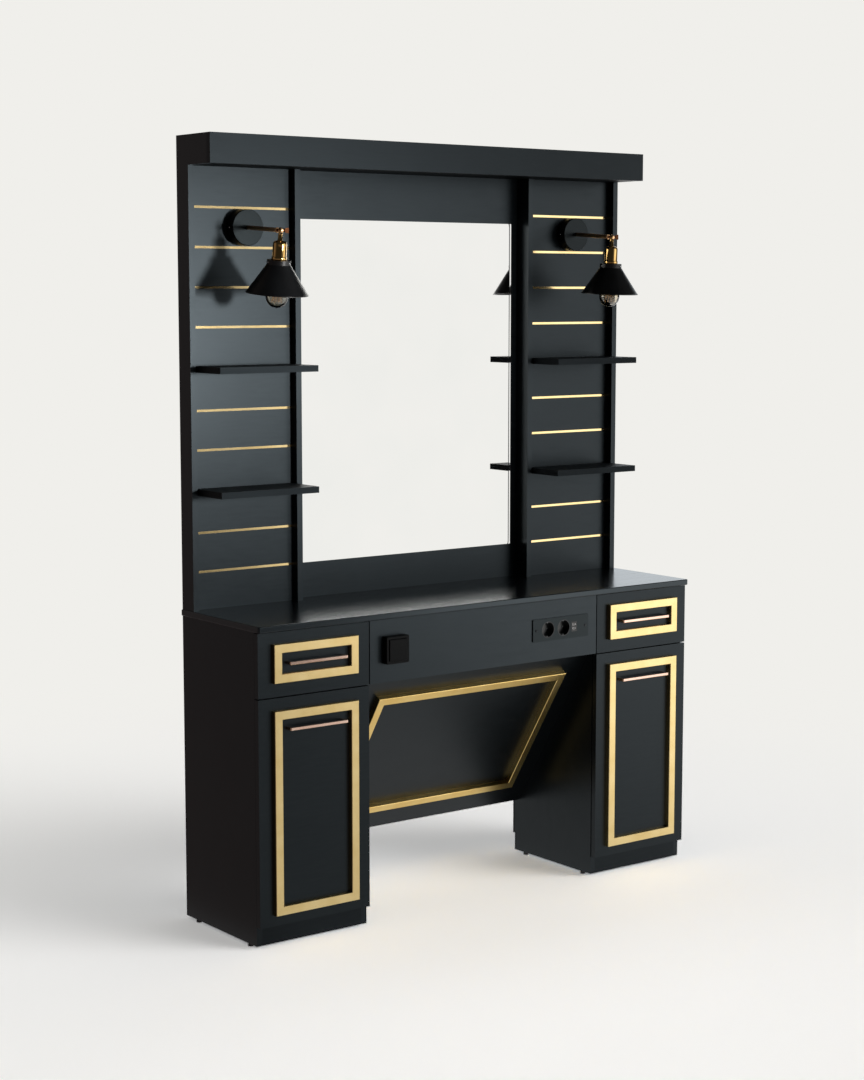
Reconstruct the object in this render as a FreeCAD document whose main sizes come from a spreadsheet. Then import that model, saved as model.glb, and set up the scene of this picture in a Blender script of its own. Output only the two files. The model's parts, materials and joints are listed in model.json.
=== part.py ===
import FreeCAD, Part
import math
import os
import Sketcher

# Salon styling station: two pedestals with a drawer and a cupboard each, a worktop, a sloping knee
# panel, and an upper frame with a mirror, two slatted columns, shelves, a cornice and two tilting lamps.
# +X runs to the right, +Y to the back, +Z up. The origin is the middle of the footprint on the floor.

SLAT_BOARDS = 11
SHELF_SLOTS = (3, 6)
STRIP_SLOTS = tuple(slot for slot in range(1, SLAT_BOARDS) if slot not in SHELF_SLOTS)

doc = FreeCAD.newDocument("SalonStation")
sheet = doc.addObject("Spreadsheet::Sheet", "Dim")

DIMENSIONS = (
    # overall
    ("base_width", 1400), ("base_depth", 350), ("total_height", 1968), ("worktop_height", 797),
    ("board", 16), ("back_board", 8), ("fit_gap", 0.3),
    # pedestals
    ("pedestal_width", 326), ("plinth_height", 56), ("glide_height", 8), ("glide_diameter", 14),
    ("glide_inset", 40), ("inner_shelf_height", 328), ("inner_shelf_setback", 60),
    # fronts
    ("front_board", 16), ("front_gap", 3), ("top_reveal", 2), ("drawer_front_height", 158),
    ("carcass_gap", 0.5), ("control_lift", 3),
    # worktop and apron
    ("front_overhang", 10), ("side_overhang", 3), ("nose_radius", 3), ("corner_radius", 6),
    # gold trim
    ("trim_width", 22), ("trim_proud", 12), ("trim_margin", 40), ("trim_edge", 1),
    ("drawer_trim_height", 95), ("door_trim_height", 505), ("door_trim_drop", 30),
    # handles
    ("handle_span", 160), ("handle_bar", 8), ("handle_projection", 22), ("handle_radius", 3),
    ("door_handle_drop", 24),
    # drawer boxes and slides
    ("drawer_board", 12), ("drawer_bottom", 5), ("drawer_box_depth", 300), ("drawer_box_height", 100),
    ("drawer_box_lift", 20), ("slide_space", 13), ("slide_height", 45), ("slide_metal", 1.5),
    ("slide_lip", 9), ("slide_gap", 0.4),
    # door hinges
    ("cup_diameter", 35), ("cup_depth", 11), ("cup_wall", 1.2), ("cup_inset", 22.5),
    ("cup_end_distance", 100), ("arm_reach", 62), ("arm_width", 12), ("arm_thickness", 12),
    ("plate_height", 50), ("plate_length", 34), ("plate_thickness", 3),
    # knee panel
    ("knee_angle", 32.6), ("knee_overlap", 22.6), ("knee_trim_margin", 65), ("knee_trim_lift", 74),
    ("knee_trim_length", 424), ("knee_trim_proud", 15),
    # switch
    ("switch_size", 70), ("switch_depth", 18), ("switch_from_pedestal", 40), ("switch_corner", 4),
    ("switch_edge", 1.5), ("rocker_size", 54), ("rocker_recess", 6), ("rocker_thickness", 5),
    ("rocker_proud", 2.5), ("rocker_gap", 0.8),
    # sockets
    ("plate_width", 192), ("plate_size_z", 60), ("socket_plate_thickness", 3), ("plate_radius", 3),
    ("plate_edge", 0.6), ("plate_from_pedestal", 32), ("socket_pitch", 54), ("socket_from_plate", 52),
    ("well_diameter", 40), ("well_wall", 1.6), ("well_depth", 17.5), ("well_floor", 2),
    ("contact_diameter", 5), ("contact_pitch", 19), ("usb_from_socket", 36), ("usb_width", 18),
    ("usb_height", 26), ("usb_slot_width", 13), ("usb_slot_height", 5.5), ("usb_slot_pitch", 11),
    ("usb_depth", 14), ("usb_slot_depth", 10), ("usb_tongue", 2), ("plate_screw_inset", 11),
    ("plate_screw_diameter", 4), ("plate_screw_head", 7), ("plate_screw_length", 14),
    ("screw_head_height", 1.2),
    # upper frame
    ("frame_depth", 55), ("cornice_height", 73), ("cornice_depth", 159), ("slat_thickness", 16),
    ("top_slat_extra", 4), ("batten_thickness", 10), ("batten_width", 30), ("batten_inset", 20),
    ("strip_height", 6), ("strip_depth", 8), ("strip_recess", 0.5), ("shelf_reach", 128),
    ("shelf_side_gap", 4),
    # mirror
    ("mirror_side_margin", 24), ("mirror_top_margin", 122), ("mirror_lift", 92), ("mirror_glass", 5),
    ("mirror_bevel", 10), ("mirror_bevel_depth", 1.5),
    # lamps
    ("canopy_diameter", 90), ("canopy_depth", 33), ("canopy_edge", 1.5), ("arm_run", 147.6),
    ("arm_diameter", 8), ("arm_droop", 4), ("eye_diameter", 14), ("eye_width", 6), ("ball_diameter", 15),
    ("ear_gap", 0.2), ("tang_length", 11.5), ("slot_depth", 9.5), ("pin_diameter", 5), ("pin_gap", 0.3),
    ("wing_length", 12), ("wing_height", 15), ("wing_thickness", 3), ("wing_corner", 2),
    ("collar_diameter", 9), ("collar_length", 2.5), ("pin_head", 8), ("neck_diameter", 11),
    ("shoulder_top", 26), ("holder_top", 32), ("holder_bottom", 72), ("holder_diameter", 34),
    ("holder_ring", 37), ("ring_height", 6), ("bore_depth", 22), ("shade_rim", 155),
    ("shade_collar", 59), ("collar_height", 11), ("shade_height", 71), ("shade_metal", 1.2),
    ("rim_bead", 1), ("shade_hole", 31), ("bulb_diameter", 56), ("bulb_drop", 189),
    ("bulb_neck_diameter", 37), ("bulb_neck_height", 22), ("bulb_cap_diameter", 26),
    ("bulb_cap_length", 40), ("left_tilt", 7), ("right_tilt", 3),
)
for row, (alias, value) in enumerate(DIMENSIONS, start=1):
    sheet.set(f"A{row}", alias)
    sheet.set(f"B{row}", str(value))
    sheet.setAlias(f"B{row}", alias)
doc.recompute()


# Places that several pieces share, as expressions of the sheet's sizes.
back_y = "((Dim.base_depth + Dim.handle_projection) / 2)"
front_y = f"({back_y} - Dim.base_depth)"
carcass_y = f"({front_y} + Dim.front_board + Dim.carcass_gap)"
back_board_y = f"({back_y} - Dim.back_board)"
left_x = "(-Dim.base_width / 2)"
left_inside = f"({left_x} + Dim.board)"
pedestal_end = f"({left_x} + Dim.pedestal_width)"
pedestal_inside = f"({pedestal_end} - Dim.board)"
pedestal_middle = f"({left_x} + Dim.pedestal_width / 2)"
worktop_under = "(Dim.worktop_height - Dim.board)"
drawer_front_top = f"({worktop_under} - Dim.top_reveal)"
drawer_front_low = f"({drawer_front_top} - Dim.drawer_front_height)"
apron_back = f"({front_y} + Dim.front_board)"
knee_low_y = f"({back_board_y} - Dim.board * cos(Dim.knee_angle))"
knee_top_z = f"({drawer_front_low} + Dim.knee_overlap)"
knee_low_z = f"({knee_top_z} - ({knee_low_y} - {apron_back}) / tan(Dim.knee_angle))"
control_z = f"(({drawer_front_low} + {drawer_front_top}) / 2 + Dim.control_lift)"
door_top = f"({drawer_front_low} - Dim.front_gap)"
door_low = "Dim.plinth_height"
rail_low = f"({drawer_front_low} - Dim.front_gap / 2 - Dim.board / 2)"
rail_top = f"({rail_low} + Dim.board)"
frame_y = f"({back_y} - Dim.frame_depth)"
slat_back = f"({back_board_y} - Dim.batten_thickness)"
slat_face = f"({slat_back} - Dim.slat_thickness)"
cornice_low = "(Dim.total_height - Dim.cornice_height)"
cornice_face = f"({back_y} - Dim.cornice_depth)"


fillers = f"{len(STRIP_SLOTS)} * Dim.strip_height + {len(SHELF_SLOTS)} * Dim.board"
filler_total = f"({fillers} + Dim.top_slat_extra)"
slat_height = f"(({cornice_low} - Dim.worktop_height - {filler_total}) / {SLAT_BOARDS})"


def slot_low(slot):
    """The height where a slot between two slat boards begins."""
    strips = sum(1 for other in STRIP_SLOTS if other < slot)
    shelves = sum(1 for other in SHELF_SLOTS if other < slot)
    return (
        f"(Dim.worktop_height + {slot} * {slat_height}"
        f" + {strips} * Dim.strip_height + {shelves} * Dim.board)"
    )


lamp_height = f"({slot_low(SLAT_BOARDS - 1)} - {slat_height} / 2)"
hinge_y = f"({slat_face} - Dim.canopy_depth - Dim.arm_run)"
hinge_z = f"({lamp_height} - Dim.arm_run * tan(Dim.arm_droop))"

nodes = []


def node(label, *solids):
    """A named sub-part, made of one solid or of several separate ones."""
    part = solids[0]
    if len(solids) > 1:
        part = doc.addObject("Part::Compound", f"{label}_set")
        part.Links = list(solids)
    part.Label = label
    nodes.append(part)
    return part


def board(name, x, y, z):
    """A flat rectangular board: x, y and z are pairs of expressions, low and high."""
    box = doc.addObject("Part::Box", name)
    for size, axis, (low, high) in zip(("Length", "Width", "Height"), "xyz", (x, y, z)):
        box.setExpression(size, f"({high}) - ({low})")
        box.setExpression(f"Placement.Base.{axis}", low)
    return box


def mirrored(source, name, normal=(1, 0, 0), middle="0"):
    """The twin of a piece on the other side of a plane across an axis."""
    twin = doc.addObject("Part::Mirroring", name)
    twin.Source = source
    twin.Normal = FreeCAD.Vector(*normal)
    if middle != "0":
        twin.setExpression("Base.x", middle)
    return twin


def pair(label, source):
    """One node with a piece and its mirrored twin."""
    return node(label, source, mirrored(source, f"{label}_twin"))


def place(piece, x, y, z, axis=None, angle=None):
    """Binds a piece's position, and its turn about an axis, to expressions."""
    if axis:
        piece.Placement.Rotation = FreeCAD.Rotation(FreeCAD.Vector(*axis), 10)
        piece.setExpression("Placement.Rotation.Angle", angle)
    for letter, value in zip("xyz", (x, y, z)):
        piece.setExpression(f"Placement.Base.{letter}", value)
    return piece


def new_body(name):
    return doc.addObject("PartDesign::Body", name)


def sketch_on(body, name, role):
    sketch = body.newObject("Sketcher::SketchObject", name)
    plane = next(item for item in body.Origin.OriginFeatures if item.Role == role)
    sketch.AttachmentSupport = (plane, [""])
    sketch.MapMode = "FlatFace"
    return sketch


def tie_point(sketch, geometry, point, x, y):
    """Holds one point of a sketch at a pair of expressions."""
    for kind, axis_line, value in (("DistanceX", -2, x), ("DistanceY", -1, y)):
        if value == "0":
            sketch.addConstraint(Sketcher.Constraint("PointOnObject", geometry, point, axis_line))
        else:
            index = sketch.addConstraint(Sketcher.Constraint(kind, -1, 1, geometry, point, 5.0))
            sketch.setExpression(f"Constraints[{index}]", value)


def outline(body, name, role, corners):
    """A closed sketch of straight lines through corners, each tied to a pair of expressions."""
    sketch = sketch_on(body, name, role)
    add_outline(sketch, corners)
    return sketch


def add_outline(sketch, corners):
    count = len(corners)
    first = sketch.GeometryCount
    ring = [
        FreeCAD.Vector(10 * math.cos(math.tau * k / count), 10 * math.sin(math.tau * k / count), 0)
        for k in range(count)
    ]
    for k in range(count):
        sketch.addGeometry(Part.LineSegment(ring[k], ring[(k + 1) % count]), False)
    for k in range(count):
        follower = first + (k + 1) % count
        sketch.addConstraint(Sketcher.Constraint("Coincident", first + k, 2, follower, 1))
    for k, (x, y) in enumerate(corners):
        tie_point(sketch, first + k, 1, x, y)


def add_circle(sketch, x, y, diameter):
    start = FreeCAD.Vector(3, 3, 0)
    index = sketch.addGeometry(Part.Circle(start, FreeCAD.Vector(0, 0, 1), 2), False)
    tie_point(sketch, index, 3, x, y)
    size = sketch.addConstraint(Sketcher.Constraint("Diameter", index, 4.0))
    sketch.setExpression(f"Constraints[{size}]", diameter)


def rectangle(x, y):
    """The corners of a rectangle between two pairs of expressions."""
    return [(x[0], y[0]), (x[1], y[0]), (x[1], y[1]), (x[0], y[1])]


def pad(body, sketch, length, name, midplane=False, reverse=False):
    feature = body.newObject("PartDesign::Pad", name)
    feature.Profile = sketch
    feature.setExpression("Length", length)
    feature.Midplane = midplane
    feature.Reversed = reverse
    doc.recompute()
    return feature


def pocket(body, sketch, length, name, midplane=False, reverse=False):
    """A cut whose volume is compared with the body before it."""
    before = body.Shape.Volume
    feature = body.newObject("PartDesign::Pocket", name)
    feature.Profile = sketch
    feature.setExpression("Length", length)
    feature.Midplane = midplane
    feature.Reversed = reverse
    doc.recompute()
    if body.Shape.Volume >= before:
        raise ValueError(f"{name} removes nothing")
    return feature


def revolve(body, sketch, name):
    feature = body.newObject("PartDesign::Revolution", name)
    feature.Profile = sketch
    feature.ReferenceAxis = (sketch, ["V_Axis"])
    feature.Angle = 360
    doc.recompute()
    return feature


def dress(body, kind, name, amount, wanted):
    """A fillet or chamfer on the tip's edges that the test accepts."""
    tip = body.Tip
    edges = [f"Edge{k}" for k, edge in enumerate(tip.Shape.Edges, start=1) if wanted(edge)]
    feature = body.newObject(f"PartDesign::{kind}", name)
    feature.Base = (tip, edges)
    feature.setExpression("Radius" if kind == "Fillet" else "Size", amount)
    doc.recompute()
    return feature


def runs_along(edge, letter):
    """Whether a straight edge runs along an axis."""
    if edge.Curve.TypeId != "Part::GeomLine":
        return False
    return abs(getattr(edge.Curve.Direction, letter)) > 0.999


# ---------------------------------------------------------------- pedestals

inner_depth = (carcass_y, back_board_y)
pair("pedestal_outer_sides", board(
    "outer_side", (left_x, left_inside), (carcass_y, back_y), ("Dim.glide_height", worktop_under)))
pair("pedestal_inner_sides", board(
    "inner_side", (pedestal_inside, pedestal_end), inner_depth, ("Dim.glide_height", worktop_under)))
between_sides = (left_inside, pedestal_inside)
pair("pedestal_bottoms", board(
    "pedestal_bottom", between_sides, inner_depth, ("Dim.plinth_height", "Dim.plinth_height + Dim.board")))
pair("pedestal_rails", board("pedestal_rail", between_sides, inner_depth, (rail_low, rail_top)))
pair("pedestal_shelves", board(
    "pedestal_shelf", between_sides, (f"{carcass_y} + Dim.inner_shelf_setback", back_board_y),
    ("Dim.inner_shelf_height", "Dim.inner_shelf_height + Dim.board")))
pair("plinths", board(
    "plinth", between_sides, (carcass_y, f"{carcass_y} + Dim.board"),
    ("Dim.glide_height", "Dim.plinth_height")))

pedestal_back = board(
    "pedestal_back", (left_inside, pedestal_end), (back_board_y, back_y), ("Dim.plinth_height", worktop_under))
knee_back = board(
    "knee_back", (pedestal_end, f"-{pedestal_end}"), (back_board_y, back_y),
    (f"{knee_low_z} + Dim.board * sin(Dim.knee_angle)", worktop_under))
node("base_backs", pedestal_back, knee_back, mirrored(pedestal_back, "pedestal_back_twin"))


def glide(name, x, y):
    foot = doc.addObject("Part::Cylinder", name)
    foot.setExpression("Radius", "Dim.glide_diameter / 2")
    foot.setExpression("Height", "Dim.glide_height")
    return place(foot, x, y, "0")


glides = []
for tag, x in (("outer", f"{left_x} + Dim.board / 2"), ("inner", f"{pedestal_end} - Dim.board / 2")):
    for end, y in (("front", f"{carcass_y} + Dim.glide_inset"), ("rear", f"{back_board_y} - Dim.glide_inset")):
        foot = glide(f"glide_{tag}_{end}", x, y)
        glides += [foot, mirrored(foot, f"glide_{tag}_{end}_twin")]
node("glides", *glides)

# ---------------------------------------------------------------- worktop and apron

worktop = new_body("worktop_body")
top_plan = rectangle(
    (f"{left_x} - Dim.side_overhang", f"Dim.base_width / 2 + Dim.side_overhang"),
    (f"{front_y} - Dim.front_overhang", back_y))
pad(worktop, outline(worktop, "worktop_plan", "XY_Plane", top_plan), "Dim.board", "worktop_pad")
front_line = worktop.Shape.BoundBox.YMin
dress(worktop, "Fillet", "worktop_corners", "Dim.corner_radius",
      lambda edge: runs_along(edge, "z") and edge.BoundBox.YMin < front_line + 1)
back_line = worktop.Shape.BoundBox.YMax
dress(worktop, "Fillet", "worktop_nose", "Dim.nose_radius",
      lambda edge: edge.BoundBox.ZLength < 0.01 and edge.BoundBox.YMin < back_line - 1)
place(worktop, "0", "0", worktop_under)
node("worktop", worktop)

apron_end = f"({pedestal_end} + Dim.front_gap / 2)"
plate_left = f"(-{pedestal_end} - Dim.plate_from_pedestal - Dim.plate_width)"
plate_right = f"({plate_left} + Dim.plate_width)"
first_socket = f"({plate_left} + Dim.socket_from_plate)"
second_socket = f"({first_socket} + Dim.socket_pitch)"
usb_x = f"({second_socket} + Dim.usb_from_socket)"
well_outside = "(Dim.well_diameter + 2 * Dim.well_wall)"
screw_centres = (f"{plate_left} + Dim.plate_screw_inset", f"{plate_right} - Dim.plate_screw_inset")
plate_low = f"({control_z} - Dim.plate_size_z / 2)"
plate_high = f"({control_z} + Dim.plate_size_z / 2)"


def add_control_holes(sketch):
    """The holes that the socket wells, the USB module and the screws need in the apron and its plate."""
    for x in (first_socket, second_socket):
        add_circle(sketch, x, control_z, f"{well_outside} + 2 * Dim.fit_gap")
    add_outline(sketch, rectangle(
        (f"{usb_x} - Dim.usb_width / 2 - Dim.fit_gap", f"{usb_x} + Dim.usb_width / 2 + Dim.fit_gap"),
        (f"{control_z} - Dim.usb_height / 2 - Dim.fit_gap", f"{control_z} + Dim.usb_height / 2 + Dim.fit_gap")))
    for x in screw_centres:
        add_circle(sketch, x, control_z, "Dim.plate_screw_diameter + 2 * Dim.fit_gap")


apron = new_body("apron_body")
apron_face = outline(apron, "apron_face", "XZ_Plane", rectangle(
    (apron_end, f"-{apron_end}"), (drawer_front_low, worktop_under)))
add_control_holes(apron_face)
pad(apron, apron_face, "Dim.front_board", "apron_pad")
place(apron, "0", f"{front_y} + Dim.front_board", "0")
node("apron", apron)

# ---------------------------------------------------------------- knee panel

knee = new_body("knee_body")
knee_side = outline(knee, "knee_side", "YZ_Plane", [
    (knee_low_y, knee_low_z),
    (back_board_y, f"{knee_low_z} + Dim.board * sin(Dim.knee_angle)"),
    (apron_back, f"{knee_top_z} + Dim.board / sin(Dim.knee_angle)"),
    (apron_back, knee_top_z)])
pad(knee, knee_side, f"-2 * {pedestal_end}", "knee_pad", midplane=True)
node("knee_panel", knee)


def mitred_frame(name, width, height, proud):
    """Four mitred trim bars round an opening, lying in the plane y = 0 and standing proud towards -Y."""
    half_w = f"({width}) / 2"
    half_h = f"({height}) / 2"
    profiles = {
        "low": [(f"-{half_w}", f"-{half_h}"), (half_w, f"-{half_h}"),
                (f"{half_w} - Dim.trim_width", f"-{half_h} + Dim.trim_width"),
                (f"-{half_w} + Dim.trim_width", f"-{half_h} + Dim.trim_width")],
        "side": [(f"-{half_w}", half_h), (f"-{half_w}", f"-{half_h}"),
                 (f"-{half_w} + Dim.trim_width", f"-{half_h} + Dim.trim_width"),
                 (f"-{half_w} + Dim.trim_width", f"{half_h} - Dim.trim_width")],
    }
    bars = []
    for kind, corners in profiles.items():
        bar = new_body(f"{name}_{kind}")
        pad(bar, outline(bar, f"{name}_{kind}_face", "XZ_Plane", corners), proud, f"{name}_{kind}_pad")
        along = "x" if kind == "low" else "z"
        front = bar.Shape.BoundBox.YMin
        dress(bar, "Chamfer", f"{name}_{kind}_edges", "Dim.trim_edge",
              lambda edge: runs_along(edge, along) and edge.BoundBox.YMax < front + 0.01)
        bars += [bar, mirrored(bar, f"{name}_{kind}_twin", (0, 0, 1) if kind == "low" else (1, 0, 0))]
    frame = doc.addObject("Part::Compound", f"{name}_bars")
    frame.Links = bars
    return frame


knee_trim = mitred_frame("knee", f"-2 * ({pedestal_end} + Dim.knee_trim_margin)", "Dim.knee_trim_length",
                         "Dim.knee_trim_proud")
knee_trim_centre = "(Dim.knee_trim_lift + Dim.knee_trim_length / 2)"
place(knee_trim, "0", f"{knee_low_y} - {knee_trim_centre} * sin(Dim.knee_angle)",
      f"{knee_low_z} + {knee_trim_centre} * cos(Dim.knee_angle)", (1, 0, 0), "Dim.knee_angle")
node("knee_trim", knee_trim)

# ---------------------------------------------------------------- light switch

switch_x = f"({pedestal_end} + Dim.switch_from_pedestal + Dim.switch_size / 2)"
recess = "(Dim.rocker_size + 2 * Dim.rocker_gap)"


def square(side):
    half = f"({side}) / 2"
    return rectangle((f"-{half}", half), (f"-{half}", half))


switch = new_body("switch_body")
switch_face = outline(switch, "switch_face", "XZ_Plane", square("Dim.switch_size"))
pad(switch, switch_face, "Dim.switch_depth", "switch_pad")
dress(switch, "Fillet", "switch_corners", "Dim.switch_corner", lambda edge: runs_along(edge, "y"))
switch_front = switch.Shape.BoundBox.YMin
dress(switch, "Chamfer", "switch_edges", "Dim.switch_edge",
      lambda edge: edge.BoundBox.YMax < switch_front + 0.01)
pocket(switch, outline(switch, "switch_recess", "XZ_Plane", square(recess)),
       "2 * (Dim.switch_depth)", "switch_through", midplane=True)
floor_sketch = outline(switch, "switch_floor", "XZ_Plane", square(recess))
pad(switch, floor_sketch, "Dim.switch_depth - Dim.rocker_recess", "switch_floor_pad")
place(switch, switch_x, front_y, control_z)
node("switch_housing", switch)

rocker = new_body("rocker_body")
pad(rocker, outline(rocker, "rocker_face", "XZ_Plane", square("Dim.rocker_size")), "Dim.rocker_thickness",
    "rocker_pad")
rocker_front = rocker.Shape.BoundBox.YMin
dress(rocker, "Chamfer", "rocker_edges", "Dim.trim_edge", lambda edge: edge.BoundBox.YMax < rocker_front + 0.01)
rib = sketch_on(rocker, "rocker_rib", "YZ_Plane")
rocker_drop = "(Dim.rocker_recess + Dim.rocker_proud - Dim.rocker_thickness)"
add_circle(rib, "0", "0", f"2 * ({rocker_drop} - Dim.fit_gap)")
pad(rocker, rib, "Dim.rocker_size / 2", "rocker_rib_pad", midplane=True)
place(rocker, switch_x, f"{front_y} - Dim.switch_depth + Dim.rocker_recess - {rocker_drop}", control_z)
node("switch_rocker", rocker)

# ---------------------------------------------------------------- sockets

plate = new_body("plate_body")
plate_face = outline(
    plate, "plate_face", "XZ_Plane", rectangle((plate_left, plate_right), (plate_low, plate_high)))
add_control_holes(plate_face)
pad(plate, plate_face, "Dim.socket_plate_thickness", "plate_pad")
plate_box = plate.Shape.BoundBox
dress(plate, "Fillet", "plate_corners", "Dim.plate_radius",
      lambda edge: runs_along(edge, "y") and (
          edge.BoundBox.XMin < plate_box.XMin + 1 or edge.BoundBox.XMax > plate_box.XMax - 1))
place(plate, "0", front_y, "0")
node("socket_plate", plate)

well = new_body("well_body")
well_half = sketch_on(well, "well_half", "XZ_Plane")
inner_r = "Dim.well_diameter / 2"
outer_r = f"{well_outside} / 2"
add_outline(well_half, [
    ("0", "-Dim.well_depth"), (inner_r, "-Dim.well_depth"), (inner_r, "0"), (outer_r, "0"),
    (outer_r, "-Dim.well_depth - Dim.well_floor"), ("0", "-Dim.well_depth - Dim.well_floor")])
revolve(well, well_half, "well_cup")
contacts = sketch_on(well, "well_contacts", "XY_Plane")
for side in ("-", ""):
    add_circle(contacts, f"{side}Dim.contact_pitch / 2", "0", "Dim.contact_diameter")
pocket(well, contacts, "3 * Dim.well_depth", "well_contact_holes", midplane=True)
place(well, first_socket, f"{front_y} - Dim.socket_plate_thickness", control_z, (1, 0, 0), "90")
second_well = mirrored(well, "second_well", middle=f"({first_socket} + {second_socket}) / 2")
node("socket_wells", well, second_well)

usb = new_body("usb_body")
pad(usb, outline(usb, "usb_face", "XZ_Plane", rectangle(
    ("-Dim.usb_width / 2", "Dim.usb_width / 2"), ("-Dim.usb_height / 2", "Dim.usb_height / 2"))),
    "Dim.usb_depth", "usb_pad", reverse=True)
ports = sketch_on(usb, "usb_ports", "XZ_Plane")
for side in ("-", ""):
    middle = f"{side}Dim.usb_slot_pitch / 2"
    for inset in ("0", "Dim.usb_tongue"):
        add_outline(ports, rectangle(
            (f"-Dim.usb_slot_width / 2 + {inset}", f"Dim.usb_slot_width / 2 - {inset}"),
            (f"{middle} - Dim.usb_slot_height / 2 + {inset}", f"{middle} + Dim.usb_slot_height / 2 - {inset}")))
pocket(usb, ports, "2 * Dim.usb_slot_depth", "usb_port_holes", midplane=True)
place(usb, usb_x, f"{front_y} - Dim.socket_plate_thickness", control_z)
node("usb_module", usb)

screw = new_body("plate_screw_body")
shank_r = "Dim.plate_screw_diameter / 2"
head_r = "Dim.plate_screw_head / 2"
screw_half = sketch_on(screw, "screw_half", "XZ_Plane")
add_outline(screw_half, [
    ("0", "-Dim.plate_screw_length"), (shank_r, "-Dim.plate_screw_length"), (shank_r, "0"), (head_r, "0"),
    (head_r, "Dim.screw_head_height / 2"), (f"{head_r} * 0.7", "Dim.screw_head_height"),
    ("0", "Dim.screw_head_height")])
revolve(screw, screw_half, "screw_turn")
place(screw, screw_centres[0], f"{front_y} - Dim.socket_plate_thickness", control_z, (1, 0, 0), "90")
node("plate_screws", screw, mirrored(screw, "plate_screw_twin", middle=f"({plate_left} + {plate_right}) / 2"))

# ---------------------------------------------------------------- handles

handle_half = "(Dim.handle_span / 2)"
bar_half = "(Dim.handle_bar / 2)"
bow = new_body("bow_body")
bow_plan = outline(bow, "bow_plan", "XY_Plane", [
    (f"-{handle_half} - {bar_half}", "0"), (f"-{handle_half} - {bar_half}", "-Dim.handle_projection"),
    (f"{handle_half} + {bar_half}", "-Dim.handle_projection"), (f"{handle_half} + {bar_half}", "0"),
    (f"{handle_half} - {bar_half}", "0"),
    (f"{handle_half} - {bar_half}", "-Dim.handle_projection + Dim.handle_bar"),
    (f"-{handle_half} + {bar_half}", "-Dim.handle_projection + Dim.handle_bar"),
    (f"-{handle_half} + {bar_half}", "0")])
pad(bow, bow_plan, "Dim.handle_bar", "bow_pad", midplane=True)
bow_front = bow.Shape.BoundBox.YMin
dress(bow, "Fillet", "bow_corners", "Dim.handle_radius",
      lambda edge: runs_along(edge, "z") and edge.BoundBox.YMax < bow_front + 0.01)
dress(bow, "Chamfer", "bow_edges", "Dim.trim_edge",
      lambda edge: edge.BoundBox.ZLength < 0.01 and edge.BoundBox.YMin < bow_front + 0.01)


def handle(label, height):
    """A bow handle in the middle of a front, and its twin."""
    copy = doc.addObject("Part::Compound", f"{label}_copy")
    copy.Links = [bow]
    place(copy, pedestal_middle, front_y, height)
    return front_pair(label, copy)


def front_pair(label, source):
    """A left-hand node and its right-hand twin."""
    node(f"{label}_left", source)
    return node(f"{label}_right", mirrored(source, f"{label}_right_twin"))


# ---------------------------------------------------------------- drawers

front_x = (left_x, f"{pedestal_end} - Dim.front_gap / 2")
drawer_front = board("drawer_front", front_x, (front_y, f"{front_y} + Dim.front_board"),
                     (drawer_front_low, drawer_front_top))
front_pair("drawer_front", drawer_front)
trim_span = "(Dim.pedestal_width - 2 * Dim.trim_margin)"
drawer_trim = mitred_frame("drawer", trim_span, "Dim.drawer_trim_height", "Dim.trim_proud")
place(drawer_trim, pedestal_middle, front_y, control_z)
front_pair("drawer_trim", drawer_trim)
handle("drawer_handle", control_z)

box_x = (f"{left_inside} + Dim.slide_space", f"{pedestal_inside} - Dim.slide_space")
box_y = (f"{front_y} + Dim.front_board", f"{front_y} + Dim.front_board + Dim.drawer_box_depth")
box_low = f"({rail_top} + Dim.drawer_box_lift)"
box_z = (box_low, f"{box_low} + Dim.drawer_box_height")
inside_x = (f"{box_x[0]} + Dim.drawer_board", f"{box_x[1]} - Dim.drawer_board")
inside_y = (f"{box_y[0]} + Dim.drawer_board", f"{box_y[1]} - Dim.drawer_board")
drawer_side = board("drawer_side", (box_x[0], inside_x[0]), box_y, box_z)
drawer_box = doc.addObject("Part::Compound", "drawer_box")
drawer_box.Links = [
    drawer_side,
    mirrored(drawer_side, "drawer_side_twin", middle=pedestal_middle),
    board("drawer_box_front", inside_x, (box_y[0], inside_y[0]), box_z),
    board("drawer_box_back", inside_x, (inside_y[1], box_y[1]), box_z),
    board("drawer_box_bottom", inside_x, inside_y, (box_low, f"{box_low} + Dim.drawer_bottom")),
]
front_pair("drawer_box", drawer_box)

slide_z = f"({box_low} + Dim.drawer_box_height / 2)"
lip_end = "(Dim.slide_metal + Dim.slide_lip)"


def channel(name, side, height):
    """The C profile of a slide: its web stands at the side, its lips reach away from it."""
    web, lip, metal = side
    half = f"({height}) / 2"
    inner = f"({half} - Dim.slide_metal)"
    body = new_body(name)
    corners = [(web, f"-{half}"), (lip, f"-{half}"), (lip, f"-{inner}"), (metal, f"-{inner}"),
               (metal, inner), (lip, inner), (lip, half), (web, half)]
    pad(body, outline(body, f"{name}_profile", "XZ_Plane", corners), "Dim.drawer_box_depth", f"{name}_pad",
        reverse=True)
    return place(body, left_inside, carcass_y, slide_z)


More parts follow.
